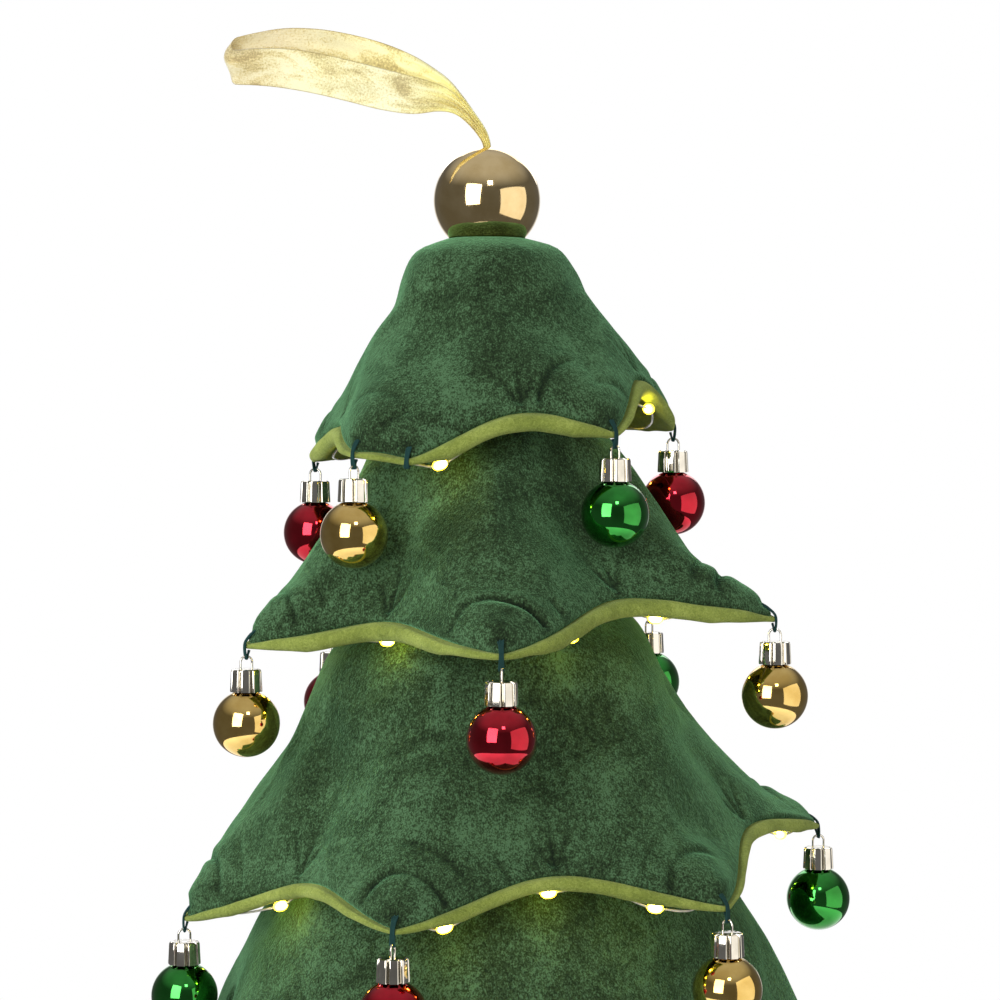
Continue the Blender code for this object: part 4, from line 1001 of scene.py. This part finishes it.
def make_baubles(materials):
    """A ball, cap and ring for each bauble of the record, hung from its joint."""
    slots = {row["node"]: row["material_slot"] for row in frame["record"]["subparts"]}
    balls = {slot: ball_mesh(materials[slot]) for slot in ("ball_red", "ball_gold", "ball_green")}
    cap = cap_mesh(materials["cap_silver"])
    ring = ring_mesh(materials["cap_silver"])
    pivots = []
    for joint in swings():
        body = joint["child"]
        pivot = np.array(joint["pos_m"])
        pivots.append(pivot)
        place = Matrix.Translation(pivot) @ Matrix.Rotation(math.atan2(pivot[0], -pivot[1]), 4, "Z")
        short = body.replace("_bauble", "")
        slot = slots[body + "_ball"]
        add_piece("ball_" + short, balls[slot], body, place, body + "_ball")
        add_piece("cap_" + short, cap, body, place, body + "_cap")
        add_piece("ring_" + short, ring, body, place)
    return pivots


# Top ball and ribbon
def top_ball_z():
    return CORE_TOP_Z + GAP + TOP_BALL_R


def make_top_ball(materials):
    socket = DOWEL_R + GAP
    low, high = math.asin(socket / TOP_BALL_R), math.asin(TOP_EYE_R / TOP_BALL_R)
    turns = np.linspace(-math.pi / 2 + low, math.pi / 2 - high, 60)
    shell = [(TOP_BALL_R * math.cos(t), TOP_BALL_R * math.sin(t)) for t in turns]
    inside, eye = shell[0][1] + TOP_SOCKET_DEPTH, shell[-1][1]
    floor = eye - TOP_EYE_DEPTH
    profile = [(0, inside), (socket, inside)] + shell
    profile += [(TOP_EYE_R * 0.97, eye - TOP_EYE_BEVEL), (TOP_EYE_R, floor), (0, floor)]
    mesh = turned_mesh("shiny_top_ball", profile, TOP_BALL_STEPS, materials["ball_champagne"])
    place = Matrix.Translation((0, 0, top_ball_z()))
    add_piece("shiny_top_ball", mesh, place=place, node="top_ball")


# One layer of the ribbon's loop, from the ball's eye to its far end: out, up, width and opening
RIBBON_ROUTE_SHARES = (
    (0.0, 0.0, 0.17, 0.12), (0.0, 0.14, 0.17, 0.12), (0.02, 0.26, 0.2, 0.12), (0.07, 0.42, 0.26, 0.14),
    (0.12, 0.54, 0.4, 0.2), (0.19, 0.64, 0.66, 0.42), (0.29, 0.71, 0.92, 0.72), (0.41, 0.8, 1.0, 0.94),
    (0.54, 0.89, 1.0, 1.0), (0.68, 0.96, 1.0, 0.94), (0.81, 0.99, 0.98, 0.8), (0.92, 0.98, 0.92, 0.62),
    (1.0, 0.96, 0.86, 0.5))
RIBBON_PLEATS = 4
RIBBON_ACROSS = 33
RIBBON_T = 0.00025
RIBBON_STEP = 0.0012
RIBBON_CURL = 0.0010


def ribbon_stations():
    """The front layer out and the back layer in: place, width share, across and face directions."""
    start_z = top_ball_z() + TOP_BALL_R - TOP_EYE_DEPTH + GAP * 2
    # Width and opening are made small here, so that the path's steps are even along its places
    table = smooth_path([(RIBBON_REACH * o, RIBBON_RISE * u, w * 0.01, a * 0.01)
                         for o, u, w, a in RIBBON_ROUTE_SHARES], RIBBON_STEP)
    slope = np.gradient(table[:, :2], axis=0)
    slope /= np.linalg.norm(slope, axis=1)[:, None]
    sides = {-1: [], 1: []}
    for (out, up, wide, apart), (ahead, rise) in zip(table, slope):
        place, wide, apart = Vector((-out, 0, start_z + up)), wide * 100, apart * 100
        for side, rows in sides.items():
            middle = place + Vector((0, side * RIBBON_OPEN / 2 * apart, side * RIBBON_OFFSET / 2 * apart))
            rows.append((middle, wide, Vector((rise, 0, ahead)), Vector((0, side, 0))))
    turn_rows = []
    for step in range(1, 9):
        turn = -math.pi / 2 + math.pi * step / 9
        out = Vector((-math.cos(turn), math.sin(turn), 0))
        lift = Vector((0, 0, math.sin(turn) * RIBBON_OFFSET / 2 * apart))
        turn_rows.append((place + out * RIBBON_OPEN / 2 * apart + lift, wide, Vector((0, 0, 1)), out))
    return sides[-1] + turn_rows + sides[1][::-1]


def make_ribbon(materials):
    """A loop of sheer ribbon, pleated where it is gathered into the ball."""
    stations = ribbon_stations()
    spread = np.linspace(-0.5, 0.5, RIBBON_ACROSS)
    pleat = RIBBON_W / (2 * RIBBON_PLEATS)
    rows, lengths = [], [0.0]
    for number, (middle, wide, across, out) in enumerate(stations):
        if rows:
            lengths.append(lengths[-1] + (middle - stations[number - 1][0]).length)
        slack = math.sqrt(max(0.0, 1 - wide ** 2))
        neck = float(smoothstep(1 - (-middle.x - RIBBON_REACH * 0.25) / (RIBBON_REACH * 0.4)))
        pleats = np.cos(spread * 2 * np.pi * RIBBON_PLEATS + 0.6 * math.sin(number * 0.11)) * pleat / 2
        cup = np.cos(spread * np.pi) * RIBBON_W * 0.35
        curl = RIBBON_CURL * wide * np.cos(spread * np.pi * 2 + number * 0.05) * math.sin(number * 0.09)
        wave = (pleats * neck + cup * (1 - neck)) * slack + curl
        rows.append([middle + across * (s * RIBBON_W * wide) + out * w for s, w in zip(spread, wave)])
    faces = grid_faces(len(rows), RIBBON_ACROSS, False, False)
    mesh = built_mesh("organza_ribbon", rows, faces, materials["ribbon"])
    layer = mesh.uv_layers.new(name="ribbon")
    for loop in mesh.loops:
        row, column = divmod(loop.vertex_index, RIBBON_ACROSS)
        layer.data[loop.index].uv = (lengths[row] / lengths[-1], column / (RIBBON_ACROSS - 1))
    mesh.shade_smooth()
    ribbon = add_piece("organza_ribbon", mesh, node="ribbon")
    solid = ribbon.modifiers.new("thickness", "SOLIDIFY")
    solid.thickness = RIBBON_T
    solid.offset = 0


# Light string
WIRE_STEP = 0.003
BEAD_SHARES = (
    (0, -0.68), (0.5, -0.6), (0.9, -0.36), (1, -0.1), (1, 0.12), (0.86, 0.38), (0.45, 0.6), (0, 0.68))


def wire_stop(tier, azimuth, drop, out=0.0):
    azimuth = np.array([float(azimuth)])
    centre = roll_centre(tier, azimuth)[0]
    tuck = WIRE_TUCK * (1 - clear_of_tip(tier, azimuth)[0])
    inset = roll_radius(tier, azimuth)[0] + WIRE_INSET + tuck
    return around(azimuth[0], centre[0] - inset + out, centre[1] - drop)


def half_led_deg(tier):
    """Half a light's length as an angle along the hem at the front."""
    return math.degrees(LED_LENGTH / 2 / hem(tier, np.array([0.0]))[0][0])


def tier_marks(tier):
    """The string's stops under a tier, in order: azimuth, and whether a light hangs there."""
    first = 180 - WIRE_ENTRY_DEG
    start = 180 + first
    marks = [(a, False) for a in range(start, 540 - first + 1, WIRE_STEP_DEG)
             if all(abs(wrapped(a - led)) > half_led_deg(tier) * 3 for led in tier.leds)]
    marks += [(led % 360 if led % 360 > start else led % 360 + 360, True) for led in tier.leds]
    return sorted(marks)


def climb_stop(height, side):
    return np.array((side * CLIMB_SPREAD, core_radius(height) - GROOVE_DEPTH / 2, height))


def make_light_string(materials):
    """The clear wire along its route, and a glowing bead at each light."""
    box_low, box_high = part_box("battery_box")
    hole_y = box_low.y + WIRE_HOLE_R * 2
    side = -CLIMB_SPREAD
    route = [(0, hole_y, box_high.z + GAP), (0, hole_y, BASE_H + WIRE_R * 4),
             (side, TRUNK_R + WIRE_R * 4, BASE_H + WIRE_R * 8),
             (side, TRUNK_TOP_R + WIRE_R * 8, TRUNK_TOP_Z - WIRE_R * 16),
             (side, core_radius(TRUNK_TOP_Z) - GROOVE_DEPTH / 2, TRUNK_TOP_Z - WIRE_R * 6)]
    profile = [(LED_R * radius, LED_LENGTH * height) for radius, height in BEAD_SHARES]
    bead = turned_mesh("warm_bead", profile, BEAD_STEPS, materials["bead"], 60)
    below = TRUNK_TOP_Z
    for tier in reversed(TIERS):
        low = below + CLIMB_CLEARANCE
        route.append(climb_stop(low, -1))
        lights = 0
        for azimuth, is_light in tier_marks(tier):
            if not is_light:
                route.append(wire_stop(tier, azimuth, WIRE_DROP))
                continue
            out, low_by = LED_SHIFTS.get((tier.name, azimuth), (0.0, 0.0))
            ends = [wire_stop(tier, azimuth + turn * half_led_deg(tier) * 1.3, LED_DROP + low_by, out)
                    for turn in (-1, 1)]
            route += ends
            lights += 1
            along = Vector(ends[1] - ends[0]).to_track_quat("Z", "Y").to_matrix().to_4x4()
            place = Matrix.Translation((ends[0] + ends[1]) / 2) @ along
            add_piece(f"bead_{tier.name}_{lights}", bead, place=place)
        route.append(climb_stop(low + WIRE_R * 6, 1))
        below = tier.top_z
    wire = tube(smooth_path(route, WIRE_STEP), WIRE_R * 0.85, 6)
    mesh = built_mesh("light_wire", *wire, materials["wire"], 60)
    add_piece("light_wire", mesh, node="light_string")


# Core, stand and battery compartment
GROOVE_HALF = 0.0032
CORE_DENT = 0.0006
CORE_DENT_SIZE = 0.02
CORE_FOOT_TUCK = 0.003
CORE_FOOT_FADE = 0.002
BASE_WAIST = 0.0008
FOOT_ROUND = 0.001
WIRE_WAY_HALF = 0.0014
CUT_OVERLAP = 0.001
CUT_OVERRUN = 0.01
SOFT_EDGE = 0.0002
CELL_NUB_H = 0.001
CELL_FOOT_SHARES = ((0.6, 0.2), (0.9, 0.2), (1.0, 0.8))
CELL_NUB_SHARES = ((1.6, 1.0), (1.1, 0.9), (1.0, 0.6), (0.95, 0.1), (0.8, 0.0), (0.0, 0.0))


def make_core(materials):
    """The stuffed cone that the skirts are sewn round, with the wire's channel at its back and its bore."""
    azimuth = all_round(CORE_STEPS)
    height = np.linspace(TRUNK_TOP_Z + GAP, CORE_TOP_Z, CORE_ROWS)[None, :]
    radius = core_radius(height) - CORE_FOOT_TUCK * np.exp(-(height - TRUNK_TOP_Z) / CORE_FOOT_FADE)
    channel = np.exp(-(wrapped(azimuth - 180) * np.pi / 180 * radius / GROOVE_HALF) ** 4)
    points = around(azimuth, radius - GROOVE_DEPTH * 1.15 * channel, height)
    points = points + around(azimuth, CORE_DENT * (np.abs(bumps(points, CORE_DENT_SIZE, 5)) - 0.6), 0.0)
    bore = around(azimuth, DOWEL_R + GAP, np.array([CORE_TOP_Z, TRUNK_TOP_Z + GAP]))
    grid = np.concatenate([points, bore], axis=1)
    mesh = built_mesh("stuffed_core", grid, grid_faces(*grid.shape[:2]), materials["core_cloth"], 60)
    add_piece("stuffed_core", mesh, node="core")


def cutter(name, low, high):
    """A box that cuts a recess; it isn't shown."""
    corners = [(x, y, z) for x in (low[0], high[0]) for y in (low[1], high[1]) for z in (low[2], high[2])]
    faces = [(0, 1, 3, 2), (4, 6, 7, 5), (0, 4, 5, 1), (2, 3, 7, 6), (0, 2, 6, 4), (1, 5, 7, 3)]
    return placed(name, built_mesh(name, corners, faces))


def make_stand(materials):
    """The turned base and trunk, finely turned, with the battery box's recess cut underneath."""
    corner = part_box("stand")[1]
    rim, tip = corner.x, corner.z
    edge = [(rim - BASE_EDGE_R * (1 - math.cos(t)), BASE_H - BASE_EDGE_R * (1 - math.sin(t)))
            for t in np.linspace(0, math.pi / 2, 8)]
    cove = [(TRUNK_R + BASE_EDGE_R / 2 * (1 - math.sin(t)), BASE_H + BASE_EDGE_R * (1 - math.cos(t)))
            for t in np.linspace(0, math.pi / 2, 6)]
    bead = [(rim - BASE_WAIST * math.sin(t) ** 2, BASE_H * (0.12 + 0.5 * t / math.pi))
            for t in np.linspace(0, math.pi, 7)]
    worn = FOOT_ROUND * 0.3
    profile = [(0, 0), (rim - FOOT_ROUND, 0), (rim - worn, worn), (rim, FOOT_ROUND)] + bead + edge + cove
    profile += [(TRUNK_TOP_R + worn, TRUNK_TOP_Z - FOOT_ROUND * 0.4), (TRUNK_TOP_R, TRUNK_TOP_Z),
                (DOWEL_R, TRUNK_TOP_Z), (DOWEL_R, tip - DOWEL_R / 4), (DOWEL_R * 0.75, tip), (0, tip)]
    mesh = turned_mesh("turned_stand", profile, STAND_STEPS, materials["wood"])
    stand = add_piece("turned_stand", mesh)
    box_low, box_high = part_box("battery_box")
    recess_low = box_low - Vector((GAP, GAP, CUT_OVERRUN))
    hole = Vector((0, box_low.y + WIRE_HOLE_R * 2, 0))
    half = Vector((WIRE_WAY_HALF, WIRE_WAY_HALF, 0))
    cut = [cutter("recess", recess_low, box_high + Vector((GAP, GAP, GAP))),
           cutter("wire_way", hole - half + Vector((0, 0, box_high.z - CUT_OVERLAP)),
                  hole + half + Vector((0, 0, BASE_H + CUT_OVERRUN)))]
    for item in cut:
        modifier = stand.modifiers.new(item.name, "BOOLEAN")
        modifier.solver = "EXACT"
        modifier.object = item
    graph = bpy.context.evaluated_depsgraph_get()
    stand.data = bpy.data.meshes.new_from_object(stand.evaluated_get(graph))
    stand.modifiers.clear()
    stand.data.set_sharp_from_angle(angle=math.radians(40))
    for item in cut:
        bpy.data.objects.remove(item)
    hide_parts("stand")


def make_battery_compartment(materials):
    for name in ("battery_box", "battery_door", "switch"):
        node = frame["nodes"][name]
        node.data.materials.clear()
        node.data.materials.append(materials["black_plastic"])
        bevel = node.modifiers.new("soft_edges", "BEVEL")
        bevel.width = SOFT_EDGE
        bevel.segments = 2
        bevel.limit_method = "ANGLE"
    for number, turn in ((1, -math.pi / 2), (2, math.pi / 2)):
        name = f"battery_cell_{number}"
        low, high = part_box(name)
        radius, half = (high.y - low.y) / 2, (high.x - low.x) / 2
        nub = radius * 0.37
        profile = [(0, -half), (radius * 0.55, -half)]
        profile += [(radius * share, -half + CELL_NUB_H * up) for share, up in CELL_FOOT_SHARES]
        profile += [(radius, half - CELL_NUB_H * 1.8), (radius * 0.94, half - CELL_NUB_H * 1.2)]
        profile += [(nub * share, half - CELL_NUB_H * down) for share, down in CELL_NUB_SHARES]
        mesh = turned_mesh("cell", profile, CELL_STEPS, materials["cell_steel"], 35)
        place = Matrix.Translation((low + high) / 2) @ Matrix.Rotation(turn, 4, "Y")
        add_piece(f"steel_cell_{number}", mesh, place=place, node=name)


# Stage, lights and camera
VIEW_DISTANCE = 1.125
PIXEL = 0.000375
AXIS_PIXEL = 487
TOP_LEVEL = 0.499
HORIZON_PIXEL = 425
PICTURE_W = 1000
SENSOR_W = 36.0
LIT_HEIGHT = 0.25
FLOOR_R = 0.38
FLOOR_FADE = {"From Min": 0.22, "From Max": FLOOR_R * 0.9, "To Min": 0.55, "To Max": 0.9}
# The bright parts of the room that mirrors show, by the view's Y and Z
ROOM_BEHIND = {"From Min": 0.86, "From Max": 1.0, "To Min": 0.12, "To Max": 1.0}
ROOM_ABOVE = {"From Min": 0.2, "From Max": 0.9, "To Max": 0.5}


def seen_white(tree):
    """One where a ray comes from the camera, a mirror or glass."""
    return tree.chain("Math", "MAXIMUM", *(
        tree.add("LightPath", {}, f"Is {kind} Ray") for kind in ("Camera", "Glossy", "Transmission")))


def make_world():
    """White where the background is seen; a dim room in front of the object, as its mirrors show it."""
    world = bpy.data.worlds.new("studio")
    bpy.context.scene.world = world
    world.use_nodes = True
    tree = NodeTree(world.node_tree)
    tree.nodes.clear()
    direction = tree.add("TexCoord", {}, "Generated")
    behind, above = (
        tree.add("MapRange", {"Value": tree.add("SeparateXYZ", {0: direction}, axis), **reach}, "Result",
                 interpolation_type="SMOOTHSTEP") for axis, reach in (("Y", ROOM_BEHIND), ("Z", ROOM_ABOVE)))
    strength = tree.chain("Math", "MAXIMUM", tree.add("LightPath", {}, "Is Camera Ray"), behind, above)
    fill = tree.add("Background", {"Color": (0.96, 0.98, 1.0, 1.0), "Strength": 0.3})
    white = tree.add("Background", {"Color": (1.0, 1.0, 1.0, 1.0), "Strength": strength})
    surface = tree.add("MixShader", {0: seen_white(tree), 1: fill, 2: white})
    tree.feed(tree.nodes.new("ShaderNodeOutputWorld"), {"Surface": surface})


def make_floor():
    """A pale round floor that reads as white and keeps the object's shadow. From below it isn't seen."""
    rim = around(all_round(96), FLOOR_R, 0.0)
    mesh = built_mesh("studio_floor", rim, [tuple(range(len(rim)))])
    floor = placed("studio_floor", mesh)
    f = Finish("pale_floor", 0.9, base_color=(0.62, 0.62, 0.62, 1.0), specular_ior_level=0.0,
               emission_color=(1.0, 1.0, 1.0, 1.0))
    away = f.add("VectorMath", {0: f.place}, "Value", operation="LENGTH")
    fade = f.add("MapRange", {"Value": away, **FLOOR_FADE}, "Result")
    f.shade(emission_strength=f.add("Math", {0: fade, 1: seen_white(f)}, operation="MULTIPLY"))
    surface = f.add("MixShader", {0: f.add("NewGeometry", {}, "Backfacing"), 1: f.shader.outputs[0],
                                  2: f.add("BsdfTransparent", {})})
    f.feed(f.nodes["Material Output"], {"Surface": surface})
    mesh.materials.append(f.material)


def soft_light(name, azimuth, distance, height, size, power, color=(1.0, 1.0, 1.0)):
    data = bpy.data.lights.new(name, "AREA")
    data.shape = "RECTANGLE"
    data.size, data.size_y = size
    data.energy = power
    data.color = color
    item = placed(name, data)
    item.location = around(azimuth, distance, height)
    item.rotation_euler = (Vector((0, 0, LIT_HEIGHT)) - item.location).to_track_quat("-Z", "Y").to_euler()
    return item


def make_lights():
    """A soft light left of the camera, a wide one right, a tall one far left, a lamp above, one behind."""
    soft_light("key_light", -30, 1.45, 0.66, (0.85, 1.15), 16.5)
    soft_light("right_softbox", 62, 1.2, 0.28, (1.5, 1.3), 6.5, (1.0, 0.96, 0.90))
    soft_light("left_softbox", -95, 1.4, 0.42, (0.5, 0.9), 13).visible_glossy = False
    soft_light("small_lamp", 8, 1.2, 1.25, (0.24, 0.24), 1.6)
    soft_light("back_softbox", 175, 1.4, 1.1, (1.2, 0.8), 5)


def make_camera():
    """Straight on at the photograph's own scale."""
    data = bpy.data.cameras.new("camera")
    data.sensor_width = SENSOR_W
    data.lens = SENSOR_W * VIEW_DISTANCE / (PICTURE_W * PIXEL)
    data.clip_start, data.clip_end = 0.05, 50
    camera = placed("camera", data)
    bpy.context.scene.camera = camera
    centre_x = (PICTURE_W / 2 - AXIS_PIXEL) * PIXEL
    camera.location = (centre_x, -VIEW_DISTANCE, TOP_LEVEL - HORIZON_PIXEL * PIXEL)
    target = Vector((centre_x, 0, TOP_LEVEL - PICTURE_W / 2 * PIXEL))
    camera.rotation_euler = (target - camera.location).to_track_quat("-Z", "Y").to_euler()


def main():
    bpy.context.scene.view_settings.view_transform = "Standard"
    materials = make_materials()
    pivots = make_baubles(materials)
    for number, tier in enumerate(TIERS):
        make_skirt(tier, number, materials)
        make_lining(tier, materials)
        make_stitches(tier, pivots, materials)
    make_top_ball(materials)
    make_ribbon(materials)
    make_light_string(materials)
    make_core(materials)
    make_stand(materials)
    make_battery_compartment(materials)
    make_world()
    make_floor()
    make_lights()
    make_camera()


main()
